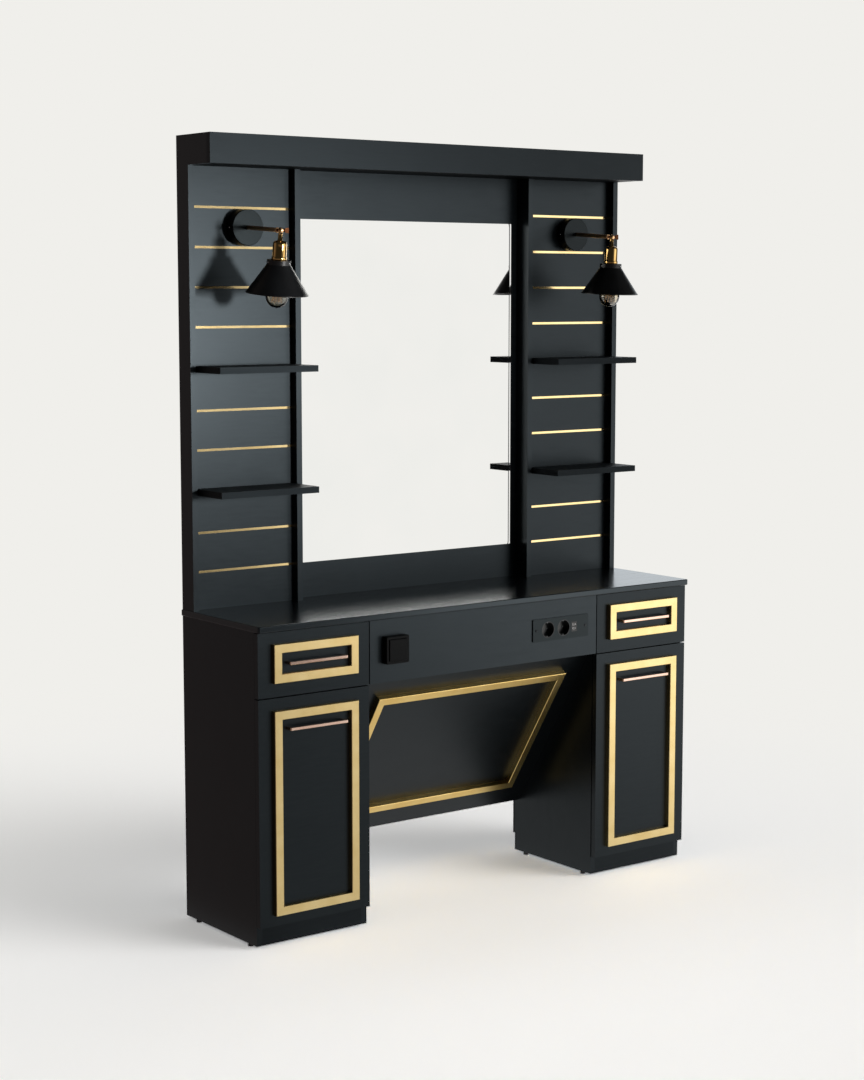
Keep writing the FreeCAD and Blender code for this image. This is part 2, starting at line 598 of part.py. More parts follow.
fixed_side = ("0", lip_end, "Dim.slide_metal")
moving_side = ("Dim.slide_space", f"Dim.slide_space - {lip_end}", "Dim.slide_space - Dim.slide_metal")
fixed_channel = channel("fixed_channel", fixed_side, "Dim.slide_height")
moving_channel = channel(
    "moving_channel", moving_side, "Dim.slide_height - 2 * (Dim.slide_metal + Dim.slide_gap)")
inner_fixed = mirrored(fixed_channel, "inner_fixed_channel", middle=pedestal_middle)
node("drawer_rails_fixed", fixed_channel, inner_fixed, mirrored(fixed_channel, "fixed_channel_right"),
     mirrored(inner_fixed, "inner_fixed_channel_right"))
moving_pair = doc.addObject("Part::Compound", "moving_pair")
moving_pair.Links = [moving_channel, mirrored(moving_channel, "inner_moving_channel", middle=pedestal_middle)]
front_pair("drawer_slides", moving_pair)

# ---------------------------------------------------------------- doors

cup_x = f"({left_x} + Dim.cup_inset)"
cup_heights = (f"{door_low} + Dim.cup_end_distance", f"{door_top} - Dim.cup_end_distance")
door = new_body("door_body")
pad(door, outline(door, "door_face", "XZ_Plane", rectangle(front_x, (door_low, door_top))), "Dim.front_board",
    "door_pad")
cup_holes = sketch_on(door, "cup_holes", "XZ_Plane")
for height in cup_heights:
    add_circle(cup_holes, cup_x, height, "Dim.cup_diameter + 2 * Dim.fit_gap")
pocket(door, cup_holes, "2 * (Dim.cup_depth)", "cup_pockets", midplane=True)
place(door, "0", f"{front_y} + Dim.front_board", "0")
front_pair("door", door)

trim_low = f"({door_top} - Dim.door_trim_drop - Dim.door_trim_height)"
door_trim = mitred_frame("door", trim_span, "Dim.door_trim_height", "Dim.trim_proud")
place(door_trim, pedestal_middle, front_y, f"{trim_low} + Dim.door_trim_height / 2")
front_pair("door_trim", door_trim)
handle("door_handle", f"{trim_low} + Dim.door_trim_height - Dim.trim_width - Dim.door_handle_drop")

cup = new_body("cup_body")
cup_half = sketch_on(cup, "cup_half", "XZ_Plane")
cup_r = "Dim.cup_diameter / 2"
add_outline(cup_half, [
    ("0", "0"), (cup_r, "0"), (cup_r, "Dim.cup_depth"), (f"{cup_r} - Dim.cup_wall", "Dim.cup_depth"),
    (f"{cup_r} - Dim.cup_wall", "Dim.cup_wall"), ("0", "Dim.cup_wall")])
revolve(cup, cup_half, "cup_turn")
cups = []
for tag, height in zip(("low", "high"), cup_heights):
    copy = doc.addObject("Part::Compound", f"cup_{tag}")
    copy.Links = [cup]
    cups.append(place(copy, cup_x, f"{front_y} + Dim.front_board - Dim.cup_depth", height, (1, 0, 0), "-90"))
cup_pair = doc.addObject("Part::Compound", "cup_pair")
cup_pair.Links = cups
front_pair("hinge_cups", cup_pair)

hinge_arm = new_body("hinge_arm_body")
arm_front = "Dim.carcass_gap"
plate_start = "Dim.arm_reach - Dim.plate_length"
pad(hinge_arm, outline(hinge_arm, "hinge_arm_plan", "XY_Plane", rectangle(
    ("0", "Dim.arm_thickness"), (arm_front, "Dim.arm_reach"))), "Dim.arm_width", "hinge_arm_pad", midplane=True)
pad(hinge_arm, outline(hinge_arm, "hinge_plate_plan", "XY_Plane", rectangle(
    ("0", "Dim.plate_thickness"), (plate_start, "Dim.arm_reach"))), "Dim.plate_height", "hinge_plate_pad",
    midplane=True)
arms = []
for tag, height in zip(("low", "high"), cup_heights):
    copy = doc.addObject("Part::Compound", f"hinge_arm_{tag}")
    copy.Links = [hinge_arm]
    place(copy, left_inside, carcass_y, height)
    arms += [copy, mirrored(copy, f"hinge_arm_{tag}_twin")]
node("hinge_arms", *arms)

# ---------------------------------------------------------------- upper frame

side = new_body("frame_side_body")
head_y = f"({cornice_face} + Dim.board)"
pad(side, outline(side, "frame_side_plan", "YZ_Plane", [
    (frame_y, "Dim.worktop_height"), (back_y, "Dim.worktop_height"), (back_y, "Dim.total_height"),
    (head_y, "Dim.total_height"), (head_y, cornice_low), (frame_y, cornice_low)]), "Dim.board",
    "frame_side_pad")
place(side, left_x, "0", "0")
pair("frame_sides", side)
pair("frame_dividers", board(
    "divider", (pedestal_inside, pedestal_end), (frame_y, back_board_y), ("Dim.worktop_height", cornice_low)))
across = (left_inside, f"-{left_inside}")
cornice_under_top = "(Dim.total_height - Dim.board)"
node("back_panel", board(
    "back_panel", across, (back_board_y, back_y), ("Dim.worktop_height", cornice_under_top)))
node("cornice_front", board(
    "cornice_front", (left_x, f"-{left_x}"), (cornice_face, head_y), (cornice_low, "Dim.total_height")))
node("cornice_top", board("cornice_top", across, (head_y, back_y), (cornice_under_top, "Dim.total_height")))
node("soffit", board("soffit", across, (head_y, back_board_y), (cornice_low, f"{cornice_low} + Dim.board")))

slats = []
for k in range(SLAT_BOARDS):
    low = "Dim.worktop_height"
    if k:
        filler = "Dim.board" if k in SHELF_SLOTS else "Dim.strip_height"
        low = f"{slot_low(k)} + {filler}"
    high = cornice_low if k == SLAT_BOARDS - 1 else slot_low(k + 1)
    slats.append(board(f"slat_{k + 1}", between_sides, (slat_face, slat_back), (low, high)))
column = doc.addObject("Part::Compound", "slat_column")
column.Links = slats
front_pair("slat_boards", column)

batten_left = (f"{left_inside} + Dim.batten_inset", f"{left_inside} + Dim.batten_inset + Dim.batten_width")
batten = board("batten", batten_left, (slat_back, back_board_y), ("Dim.worktop_height", cornice_low))
inner_batten = mirrored(batten, "inner_batten", middle=pedestal_middle)
node("slat_battens", batten, inner_batten,
     mirrored(batten, "batten_right"), mirrored(inner_batten, "inner_batten_right"))

strips = []
for slot in STRIP_SLOTS:
    strip = board(f"strip_{slot}", between_sides,
                  (f"{slat_face} + Dim.strip_recess", f"{slat_face} + Dim.strip_recess + Dim.strip_depth"),
                  (slot_low(slot), f"{slot_low(slot)} + Dim.strip_height"))
    strips += [strip, mirrored(strip, f"strip_{slot}_twin")]
node("slat_strips", *strips)

shelf_x = (f"{left_inside} + Dim.shelf_side_gap", f"{pedestal_inside} - Dim.shelf_side_gap")
shelves = doc.addObject("Part::Compound", "shelf_set")
shelves.Links = [
    board(f"shelf_{slot}", shelf_x, (f"{slat_face} - Dim.shelf_reach", slat_back),
          (slot_low(slot), f"{slot_low(slot)} + Dim.board"))
    for slot in SHELF_SLOTS
]
front_pair("shelves", shelves)

# ---------------------------------------------------------------- mirror

bevel = doc.addObject("Part::Wedge", "mirror_bevel")
mirror_half_w = f"(-{pedestal_end} - Dim.mirror_side_margin)"
mirror_low = "(Dim.worktop_height + Dim.mirror_lift)"
mirror_high = f"({cornice_low} - Dim.mirror_top_margin)"
mirror_half_h = f"(({mirror_high} - {mirror_low}) / 2)"
for size, value in (
    ("Xmin", f"-{mirror_half_w} + Dim.mirror_bevel"), ("Xmax", f"{mirror_half_w} - Dim.mirror_bevel"),
    ("Zmin", f"-{mirror_half_h} + Dim.mirror_bevel"), ("Zmax", f"{mirror_half_h} - Dim.mirror_bevel"),
    ("X2min", f"-{mirror_half_w}"), ("X2max", mirror_half_w),
    ("Z2min", f"-{mirror_half_h}"), ("Z2max", mirror_half_h),
    ("Ymax", "Dim.mirror_bevel_depth"),
):
    bevel.setExpression(size, value)
bevel.Ymin = 0
mirror_y = f"({back_board_y} - Dim.mirror_glass)"
mirror_z = f"(({mirror_low} + {mirror_high}) / 2)"
place(bevel, "0", mirror_y, mirror_z)
glass_body = board("mirror_glass_body", (f"-{mirror_half_w}", mirror_half_w),
                   (f"{mirror_y} + Dim.mirror_bevel_depth", back_board_y),
                   (f"{mirror_z} - {mirror_half_h}", f"{mirror_z} + {mirror_half_h}"))
mirror = doc.addObject("Part::MultiFuse", "mirror")
mirror.Shapes = [bevel, glass_body]
node("mirror", mirror)

# ---------------------------------------------------------------- lamps

canopy = new_body("canopy_body")
canopy_half = sketch_on(canopy, "canopy_half", "XZ_Plane")
canopy_r = "Dim.canopy_diameter / 2"
add_outline(canopy_half, [
    ("0", "0"), (canopy_r, "0"), (canopy_r, "Dim.canopy_depth - Dim.canopy_edge"),
    (f"{canopy_r} - Dim.canopy_edge", "Dim.canopy_depth"), ("0", "Dim.canopy_depth")])
revolve(canopy, canopy_half, "canopy_turn")
place(canopy, pedestal_middle, slat_face, lamp_height, (1, 0, 0), "90")
pair("lamp_canopies", canopy)

arm = new_body("lamp_arm_body")
rod = sketch_on(arm, "rod", "XZ_Plane")
add_circle(rod, "0", "0", "Dim.arm_diameter")
pad(arm, rod, "Dim.arm_run + 2 * Dim.arm_diameter", "rod_pad", reverse=True)
seat_low = "(Dim.arm_run - Dim.arm_diameter * sin(Dim.arm_droop)) / cos(Dim.arm_droop)"
seat_high = "(Dim.arm_run + Dim.arm_diameter * sin(Dim.arm_droop)) / cos(Dim.arm_droop)"
canopy_seat = outline(arm, "canopy_seat", "YZ_Plane", [
    (seat_low, "-Dim.arm_diameter"), ("Dim.arm_run + 3 * Dim.arm_diameter", "-Dim.arm_diameter"),
    ("Dim.arm_run + 3 * Dim.arm_diameter", "Dim.arm_diameter"), (seat_high, "Dim.arm_diameter")])
pocket(arm, canopy_seat, "2 * Dim.arm_diameter", "canopy_seat_cut", midplane=True)
for tag, inside, outside in (("left", "-Dim.eye_width / 2", "-Dim.arm_diameter"),
                             ("right", "Dim.eye_width / 2", "Dim.arm_diameter")):
    cheek = outline(
        arm, f"cheek_{tag}", "XY_Plane", rectangle((inside, outside), ("-Dim.arm_diameter", "Dim.tang_length")))
    pocket(arm, cheek, "4 * Dim.arm_diameter", f"cheek_{tag}_cut", midplane=True)
eye = sketch_on(arm, "eye", "YZ_Plane")
add_circle(eye, "0", "0", "Dim.eye_diameter")
pad(arm, eye, "Dim.eye_width", "eye_pad", midplane=True)
eye_bore = sketch_on(arm, "eye_bore", "YZ_Plane")
add_circle(eye_bore, "0", "0", "Dim.pin_diameter")
pocket(arm, eye_bore, "2 * Dim.arm_diameter", "eye_bore_cut", midplane=True)
place(arm, pedestal_middle, hinge_y, hinge_z, (1, 0, 0), "Dim.arm_droop")
pair("lamp_arms", arm)

thumb = new_body("thumb_screw_body")
thumb_half = sketch_on(thumb, "thumb_half", "XZ_Plane")
pin_r = "Dim.pin_diameter / 2"
grip = "(Dim.ball_diameter / 2 + Dim.fit_gap)"
collar_r = "Dim.collar_diameter / 2"
pin_head_r = "Dim.pin_head / 2"
collar_end = f"({grip} + Dim.collar_length)"
add_outline(thumb_half, [
    ("0", f"-{collar_end}"), (pin_head_r, f"-{collar_end}"), (pin_head_r, f"-{grip}"), (pin_r, f"-{grip}"),
    (pin_r, grip), (collar_r, grip), (collar_r, collar_end), ("0", collar_end)])
revolve(thumb, thumb_half, "thumb_turn")
wing_end = f"({collar_end} + Dim.wing_length)"
wing_half = "(Dim.wing_height / 2)"
wing = outline(thumb, "wing", "XZ_Plane", [
    (f"-{wing_half} / 2", grip), (f"{wing_half} / 2", grip), (wing_half, wing_end), (f"-{wing_half}", wing_end)])
pad(thumb, wing, "Dim.wing_thickness", "wing_pad", midplane=True)
wing_top = thumb.Shape.BoundBox.ZMax
dress(thumb, "Fillet", "wing_corners", "Dim.wing_corner",
      lambda edge: runs_along(edge, "y") and edge.BoundBox.ZMax > wing_top - 0.1)
thumbs = []
for tag, x in (("left", pedestal_middle), ("right", f"-{pedestal_middle}")):
    copy = doc.addObject("Part::Compound", f"thumb_{tag}")
    copy.Links = [thumb]
    thumbs.append(place(copy, x, hinge_y, hinge_z, (0, 1, 0), "90"))
node("lamp_thumb_screws", *thumbs)

holder = new_body("holder_body")
holder_half = sketch_on(holder, "holder_half", "XZ_Plane")
neck_r = "Dim.neck_diameter / 2"
holder_r = "Dim.holder_diameter / 2"
ring_r = "Dim.holder_ring / 2"
bore_r = "(Dim.bulb_cap_diameter / 2 + Dim.fit_gap)"
bore_top = "(Dim.bore_depth - Dim.holder_bottom)"
add_outline(holder_half, [
    ("0", f"{bore_top}"), (bore_r, f"{bore_top}"),
    (bore_r, "-Dim.holder_bottom"), (ring_r, "-Dim.holder_bottom"),
    (ring_r, "Dim.ring_height - Dim.holder_bottom"), (holder_r, "Dim.ring_height - Dim.holder_bottom"),
    (holder_r, "-Dim.holder_top"), (f"{holder_r} * 0.7", "-Dim.shoulder_top"), (neck_r, "-Dim.shoulder_top"),
    (neck_r, "-Dim.slot_depth / 2"), ("0", "-Dim.slot_depth / 2")])
revolve(holder, holder_half, "holder_turn")
ball = holder.newObject("PartDesign::AdditiveSphere", "fork_ball")
ball.setExpression("Radius", "Dim.ball_diameter / 2")
doc.recompute()
fork_half = "(Dim.eye_width / 2 + Dim.ear_gap)"
fork_slot = outline(holder, "fork_slot", "XZ_Plane", rectangle(
    (f"-{fork_half}", fork_half), ("-Dim.slot_depth", "Dim.ball_diameter")))
pocket(holder, fork_slot, "2 * Dim.ball_diameter", "fork_slot_cut", midplane=True)
fork_bore = sketch_on(holder, "fork_bore", "YZ_Plane")
add_circle(fork_bore, "0", "0", "Dim.pin_diameter + 2 * Dim.pin_gap")
pocket(holder, fork_bore, "2 * Dim.ball_diameter", "fork_bore_cut", midplane=True)

shade = new_body("shade_body")
shade_half = sketch_on(shade, "shade_half", "XZ_Plane")
shade_top = "-Dim.holder_bottom"
shade_shoulder = "(-Dim.holder_bottom - Dim.collar_height)"
shade_low = f"({shade_shoulder} - Dim.shade_height)"
shade_collar_r = "(Dim.shade_collar / 2)"
rim_r = "(Dim.shade_rim / 2)"
add_outline(shade_half, [
    ("Dim.shade_hole / 2", shade_top), (shade_collar_r, shade_top), (shade_collar_r, shade_shoulder),
    (f"{rim_r} - 2 * Dim.rim_bead", f"{shade_low} + 3 * Dim.rim_bead"),
    (rim_r, f"{shade_low} + 2 * Dim.rim_bead"),
    (rim_r, shade_low), (f"{rim_r} - 3 * Dim.rim_bead", f"{shade_low}"),
    (f"{shade_collar_r} - Dim.shade_metal", f"{shade_shoulder} - Dim.shade_metal / 3"),
    (f"{shade_collar_r} - Dim.shade_metal", f"{shade_top} - Dim.shade_metal"),
    ("Dim.shade_hole / 2", f"{shade_top} - Dim.shade_metal")])
revolve(shade, shade_half, "shade_turn")

bulb = new_body("bulb_body")
bulb_half = sketch_on(bulb, "bulb_half", "XZ_Plane")
cap_r = "Dim.bulb_cap_diameter / 2"
bulb_neck_r = "Dim.bulb_neck_diameter / 2"
bulb_centre = "(Dim.bulb_diameter / 2 - Dim.bulb_drop)"
cap_low = f"({bore_top} - Dim.bulb_cap_length)"
add_outline(bulb_half, [
    ("0", bore_top), (cap_r, bore_top), (cap_r, cap_low),
    (bulb_neck_r, f"{bulb_centre} + Dim.bulb_neck_height"), ("0", f"{bulb_centre} + Dim.bulb_neck_height / 2")])
revolve(bulb, bulb_half, "bulb_turn")
globe = bulb.newObject("PartDesign::AdditiveSphere", "globe")
globe.setExpression("Radius", "Dim.bulb_diameter / 2")
globe.setExpression("AttachmentOffset.Base.z", bulb_centre)
globe.setExpression("Placement.Base.z", bulb_centre)
doc.recompute()

for label, source in (("lamp_holder", holder), ("lamp_shade", shade), ("lamp_bulb", bulb)):
    for tag, x, tilt in (
            ("left", pedestal_middle, "Dim.left_tilt"), ("right", f"-{pedestal_middle}", "Dim.right_tilt")):
        copy = doc.addObject("Part::Compound", f"{label}_{tag}_copy")
        copy.Links = [source]
        place(copy, x, hinge_y, hinge_z, (1, 0, 0), tilt)
        node(f"{label}_{tag}", copy)

# ---------------------------------------------------------------- checks and files

doc.recompute()
for item in doc.Objects:
    if {"Invalid", "Error"} & set(item.State):
        raise ValueError(f"{item.Name} is {item.State}")
for part in nodes:
    if part.Shape.isNull() or not part.Shape.isValid() or not part.Shape.Solids:
        raise ValueError(f"{part.Label} has no valid shape")

os.makedirs("parts", exist_ok=True)
for part in nodes:
    part.Shape.exportStep(f"parts/{part.Label}.step")
print(len(nodes), "nodes,", sum(len(part.Shape.Solids) for part in nodes), "solids")
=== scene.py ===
# %% [markdown]
# # Dressing a salon styling station
# The station is a black laminate cabinet with gold trims, a bevelled mirror and two tilting lamps.
# Every board, trim bar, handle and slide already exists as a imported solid. This lesson gives each
# of them the finish of the real thing. Then it adds the parts that are too fine for the solids:
# clear bulbs with wound filaments, spun brass skins on the lamps, clips in the sockets and screws.

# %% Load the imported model
import json
import math

import bmesh
import bpy
from mathutils import Matrix, Vector


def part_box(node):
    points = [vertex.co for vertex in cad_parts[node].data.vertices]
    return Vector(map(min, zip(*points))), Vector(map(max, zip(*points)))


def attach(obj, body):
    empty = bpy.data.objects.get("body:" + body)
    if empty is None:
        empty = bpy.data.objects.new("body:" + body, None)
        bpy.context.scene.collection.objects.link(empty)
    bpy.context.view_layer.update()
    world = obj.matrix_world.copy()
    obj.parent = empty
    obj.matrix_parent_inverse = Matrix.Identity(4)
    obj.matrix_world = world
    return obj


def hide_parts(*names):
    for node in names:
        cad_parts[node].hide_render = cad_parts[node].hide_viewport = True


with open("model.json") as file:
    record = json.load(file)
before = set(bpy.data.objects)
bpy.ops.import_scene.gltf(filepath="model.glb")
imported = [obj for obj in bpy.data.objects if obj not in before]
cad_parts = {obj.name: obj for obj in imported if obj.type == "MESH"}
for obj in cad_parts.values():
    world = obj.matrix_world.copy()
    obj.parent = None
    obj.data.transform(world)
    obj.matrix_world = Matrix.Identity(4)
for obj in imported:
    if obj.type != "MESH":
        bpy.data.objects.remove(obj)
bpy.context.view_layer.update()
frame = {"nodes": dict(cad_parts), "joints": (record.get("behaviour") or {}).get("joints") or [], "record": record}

# %% [markdown]
# ## Colours and nodes
# Paint makers and screens give colours as sRGB hex values, while shaders want linear light, so one
# function turns one into the other. A second adds a shader node and fills its inputs, so that each
# finish below reads like a recipe. A third gives the scale at which a noise has features of a given
# size in millimetres, because object coordinates are in metres.

# %% Helpers for colours, nodes and pattern sizes


def linear(hex_code):
    """A linear RGBA colour from an sRGB hex value."""
    parts = [int(hex_code[k:k + 2], 16) / 255 for k in (1, 3, 5)]
    light = [c / 12.92 if c <= 0.04045 else ((c + 0.055) / 1.055) ** 2.4 for c in parts]
    return (*light, 1.0)


def add(tree, kind, inputs=None, **settings):
    """Adds one node with its settings; inputs are values or other nodes' outputs."""
    node = tree.nodes.new(kind)
    for name, value in settings.items():
        setattr(node, name, value)
    for name, value in (inputs or {}).items():
        if isinstance(value, bpy.types.NodeSocket):
            tree.links.new(value, node.inputs[name])
        else:
            node.inputs[name].default_value = value
    return node


def per_mm(size):
    """The noise scale whose features are about this many millimetres across."""
    return 1000 / size


print("white is", linear("#FFFFFF")[:3], "and a 2 mm grain has scale", per_mm(2))

# %% [markdown]
# ## The camera
# The station is seen from its left front corner, from a little above the mirror's middle. A short
# telephoto lens keeps the upright edges almost parallel. A target object could aim the camera, but
# two plain angles are easier to repeat.

# %% Camera
EYE = Vector((-3.3504, -4.3686, 1.5896))
YAW, PITCH = math.radians(37.018), math.radians(-6.731)
SENSOR_MM, LENS_MM, FAR_CLIP = 36.0, 70.24, 200.0
camera_data = bpy.data.cameras.new("camera")
camera_data.sensor_width = SENSOR_MM
camera_data.lens = LENS_MM
camera_data.clip_end = FAR_CLIP
camera = bpy.data.objects.new("camera", camera_data)
bpy.context.scene.collection.objects.link(camera)
camera.location = EYE
camera.rotation_euler = (math.pi / 2 + PITCH, 0.0, -YAW)
bpy.context.scene.camera = camera
print("camera stands", round(EYE.length, 2), "m from the middle of the base")

# %% [markdown]
# ## Studio
# The room is a plain pale studio. A shader can tell by which kind of ray it is seen, with the Light
# Path node. The camera, the mirror and clear glass see one even backdrop colour. Satin and metal
# surfaces see a dark room with three soft walls of light instead. The two functions below tell
# these kinds of ray apart, for the world, the card and the floor alike.

# %% Studio colours, directions and kinds of ray
BACKDROP = linear("#F0EFEB")
SOFT_WHITE, WARM_SHADE, COOL_WHITE = linear("#FFFEFC"), linear("#FFE7E2"), linear("#F3FAFF")


def heading(azimuth, elevation):
    """A direction from its angle to the right of straight in front and its angle above level."""
    a, e = math.radians(azimuth), math.radians(elevation)
    return Vector((math.sin(a) * math.cos(e), -math.cos(a) * math.cos(e), math.sin(e)))


def glossy_rays(tree):
    """1 for rays that left a satin or metal surface, but not the mirror or glass, else 0."""
    rays = add(tree, "ShaderNodeLightPath").outputs
    blurred = add(tree, "ShaderNodeMath", {0: rays["Is Glossy Ray"], 1: rays["Is Singular Ray"]},
                  operation="SUBTRACT").outputs[0]
    return add(tree, "ShaderNodeMath", {0: blurred, 1: 0.5}, operation="GREATER_THAN").outputs[0]


def sharp_rays(tree):
    """1 for rays from the camera, off the mirror or through glass, else 0."""
    rays = add(tree, "ShaderNodeLightPath").outputs
    direct = add(tree, "ShaderNodeMath", {0: rays["Is Camera Ray"], 1: rays["Is Singular Ray"]},
                 operation="MAXIMUM").outputs[0]
    return add(tree, "ShaderNodeMath", {0: direct, 1: rays["Is Transmission Ray"]},
               operation="MAXIMUM").outputs[0]


print("backdrop", [round(c, 3) for c in BACKDROP[:3]], "right is", heading(90, 0)[:])

# %% [markdown]
# The walls of light are soft round glows in the world: a white one at the right front, a wide, dim
# and warm one at the back left, and a bright cool one at the back right. So the fronts come out
# slate grey, the left sides nearly black, and the worktop shines where it is seen at a flat angle.
# Only the front wall also lights the boards' own colour. A studio image could do the same, but
# three glows are easier to move one by one.

# %% Walls of light
world = bpy.data.worlds.new("studio")
bpy.context.scene.world = world
world.use_nodes = True
tree = world.node_tree
tree.nodes.clear()
direction = add(tree, "ShaderNodeTexCoord").outputs["Generated"]
WALLS = {  # middle, edge and core in degrees from it, glow beyond the edge, glow in the core
    "front": (heading(39, 8), 30, 6, 0.035, 1.15),
    "left": (heading(-143, 2), 62, 15, 0.0, 0.20),
    "back": (heading(138, 7), 38, 14, 0.0, 1.36),
}
glows = {}
for wall, (middle, edge, core, dark, bright) in WALLS.items():
    facing = add(tree, "ShaderNodeVectorMath", {0: direction, 1: middle}, operation="DOT_PRODUCT")
    glows[wall] = add(tree, "ShaderNodeMapRange", {
        "Value": facing.outputs["Value"], "From Min": math.cos(math.radians(edge)),
        "From Max": math.cos(math.radians(core)), "To Min": dark, "To Max": bright},
        interpolation_type="SMOOTHSTEP").outputs["Result"]
satin_only = glossy_rays(tree)
for wall in ("left", "back"):
    glows[wall] = add(tree, "ShaderNodeMath", {0: glows[wall], 1: satin_only},
                      operation="MULTIPLY").outputs[0]
studio, *others = [
    add(tree, "ShaderNodeBackground", {"Color": colour, "Strength": glows[wall]})
    for wall, colour in (("front", SOFT_WHITE), ("left", WARM_SHADE), ("back", COOL_WHITE))]
for light in others:
    studio = add(tree, "ShaderNodeAddShader", {0: studio.outputs[0], 1: light.outputs[0]})
print("walls of light:", list(glows))

# %% [markdown]
# The worktop sees the backdrop by way of the mirror that stands behind it, and shines in a bright
# band there. Rays on that path have left the worktop and then the mirror, so they come to the world
# with a ray depth of three, and have passed no glass. For them the backdrop is stronger by
# MIRROR_GAIN. The mirror itself is seen at a lower depth and keeps the backdrop's plain colour.

# %% Backdrop by way of the mirror
MIRROR_GAIN, PAST_MIRROR, NO_GLASS = 2.3, 2.5, 0.5
rays = add(tree, "ShaderNodeLightPath").outputs
later = add(tree, "ShaderNodeMath", {0: rays["Ray Depth"], 1: PAST_MIRROR},
            operation="GREATER_THAN")
unbent = add(tree, "ShaderNodeMath", {0: rays["Transmission Depth"], 1: NO_GLASS},
             operation="LESS_THAN")
by_mirror = add(tree, "ShaderNodeMath", {0: later.outputs[0], 1: unbent.outputs[0]},
                operation="MULTIPLY")
gain = add(tree, "ShaderNodeMath", {0: by_mirror.outputs[0], 1: MIRROR_GAIN, 2: 1.0},
           operation="MULTIPLY_ADD")
plain = add(tree, "ShaderNodeBackground", {"Color": BACKDROP, "Strength": gain.outputs[0]})
mixed = add(tree, "ShaderNodeMixShader", {0: sharp_rays(tree), 1: studio.outputs[0],
                                          2: plain.outputs[0]})
add(tree, "ShaderNodeOutputWorld", {"Surface": mixed.outputs[0]})
print("the worktop's band sees the backdrop", 1 + MIRROR_GAIN, "times as bright")

# %% [markdown]
# One small square softbox at the right front draws the lamps' soft shadows on the slats. An area
# light suits that better than a point, because its size sets how soft the shadow's edge is. Its
# spread is narrow, so it lights the frame more than the floor.

# %% Key softbox
KEY_PLACE, KEY_AIM = Vector((0.62, -3.45, 1.45)), Vector((-0.55, 0.15, 1.545))
KEY_SIZE, KEY_WATTS, KEY_SPREAD = 0.42, 3.25, math.radians(30)
key_data = bpy.data.lights.new("key", "AREA")
key_data.shape = "SQUARE"
key_data.size = KEY_SIZE
key_data.energy = KEY_WATTS
key_data.color = linear("#FFFDFB")[:3]
key_data.spread = KEY_SPREAD
key = bpy.data.objects.new("key", key_data)
bpy.context.scene.collection.objects.link(key)
key.location = KEY_PLACE
key.rotation_euler = (KEY_AIM - KEY_PLACE).to_track_quat("-Z", "Y").to_euler()
print("key", key_data.energy, "W from", KEY_PLACE[:])

# %% [markdown]
# A tall white card stands in front at the right, and only satin and metal surfaces see it. It fades
# at its left end, so the left cupboard front comes out darker than the right one, and a little at
# its right end and its top, so the right slats and the cornice don't come out paler than the
# fronts. It lights nothing by itself: emission sampling is off, and other rays pass through it.

# %% Reflection card
CARD_Y, CARD_TOP, CARD_LEFT, CARD_RIGHT = -2.6, 3.2, 0.3, 5.2
CARD_FADES = (  # axis, start and end in metres, strength at each, curve
    ("X", 1.0, 1.9, 0.18, 2.2, "SMOOTHSTEP"),
    ("X", 2.1, 2.7, 1.0, 0.8, "LINEAR"),
    ("Z", 2.2, 3.2, 1.0, 0.8, "LINEAR"),
)
card_mesh = bpy.data.meshes.new("reflection_card")
sheet = bmesh.new()
corners = ((CARD_LEFT, 0.0), (CARD_RIGHT, 0.0), (CARD_RIGHT, CARD_TOP), (CARD_LEFT, CARD_TOP))
sheet.faces.new([sheet.verts.new((x, CARD_Y, z)) for x, z in reversed(corners)])
sheet.to_mesh(card_mesh)
sheet.free()
card = bpy.data.objects.new("reflection_card", card_mesh)
bpy.context.scene.collection.objects.link(card)
card_white = bpy.data.materials.new("card_white")
card_white.use_nodes = True
card_white.cycles.emission_sampling = "NONE"
tree = card_white.node_tree
tree.nodes.clear()
where = add(tree, "ShaderNodeTexCoord").outputs["Object"]
at = add(tree, "ShaderNodeSeparateXYZ", {0: where}).outputs
strength = 1.0
for axis, start, end, first, last, curve in CARD_FADES:
    fade = add(tree, "ShaderNodeMapRange", {
        "Value": at[axis], "From Min": start, "From Max": end, "To Min": first, "To Max": last},
        interpolation_type=curve).outputs["Result"]
    strength = add(tree, "ShaderNodeMath", {0: strength, 1: fade}, operation="MULTIPLY").outputs[0]
white = add(tree, "ShaderNodeEmission", {"Color": SOFT_WHITE, "Strength": strength})
clear = add(tree, "ShaderNodeBsdfTransparent")
shown = add(tree, "ShaderNodeMixShader", {0: glossy_rays(tree), 1: clear.outputs[0],
                                          2: white.outputs[0]})
add(tree, "ShaderNodeOutputMaterial", {"Surface": shown.outputs[0]})
card_mesh.materials.append(card_white)
print("card stands", -CARD_Y, "m in front and reaches", CARD_TOP, "m up")

# %% [markdown]
# ## Floor
# The floor is the same paper as the backdrop, so no horizon shows. Close to the station it takes
# real shadows, and farther out it fades into the plain backdrop colour. The boards need little
# light and the paper much, so the part that the camera sees is lifted by PAPER_GAIN.

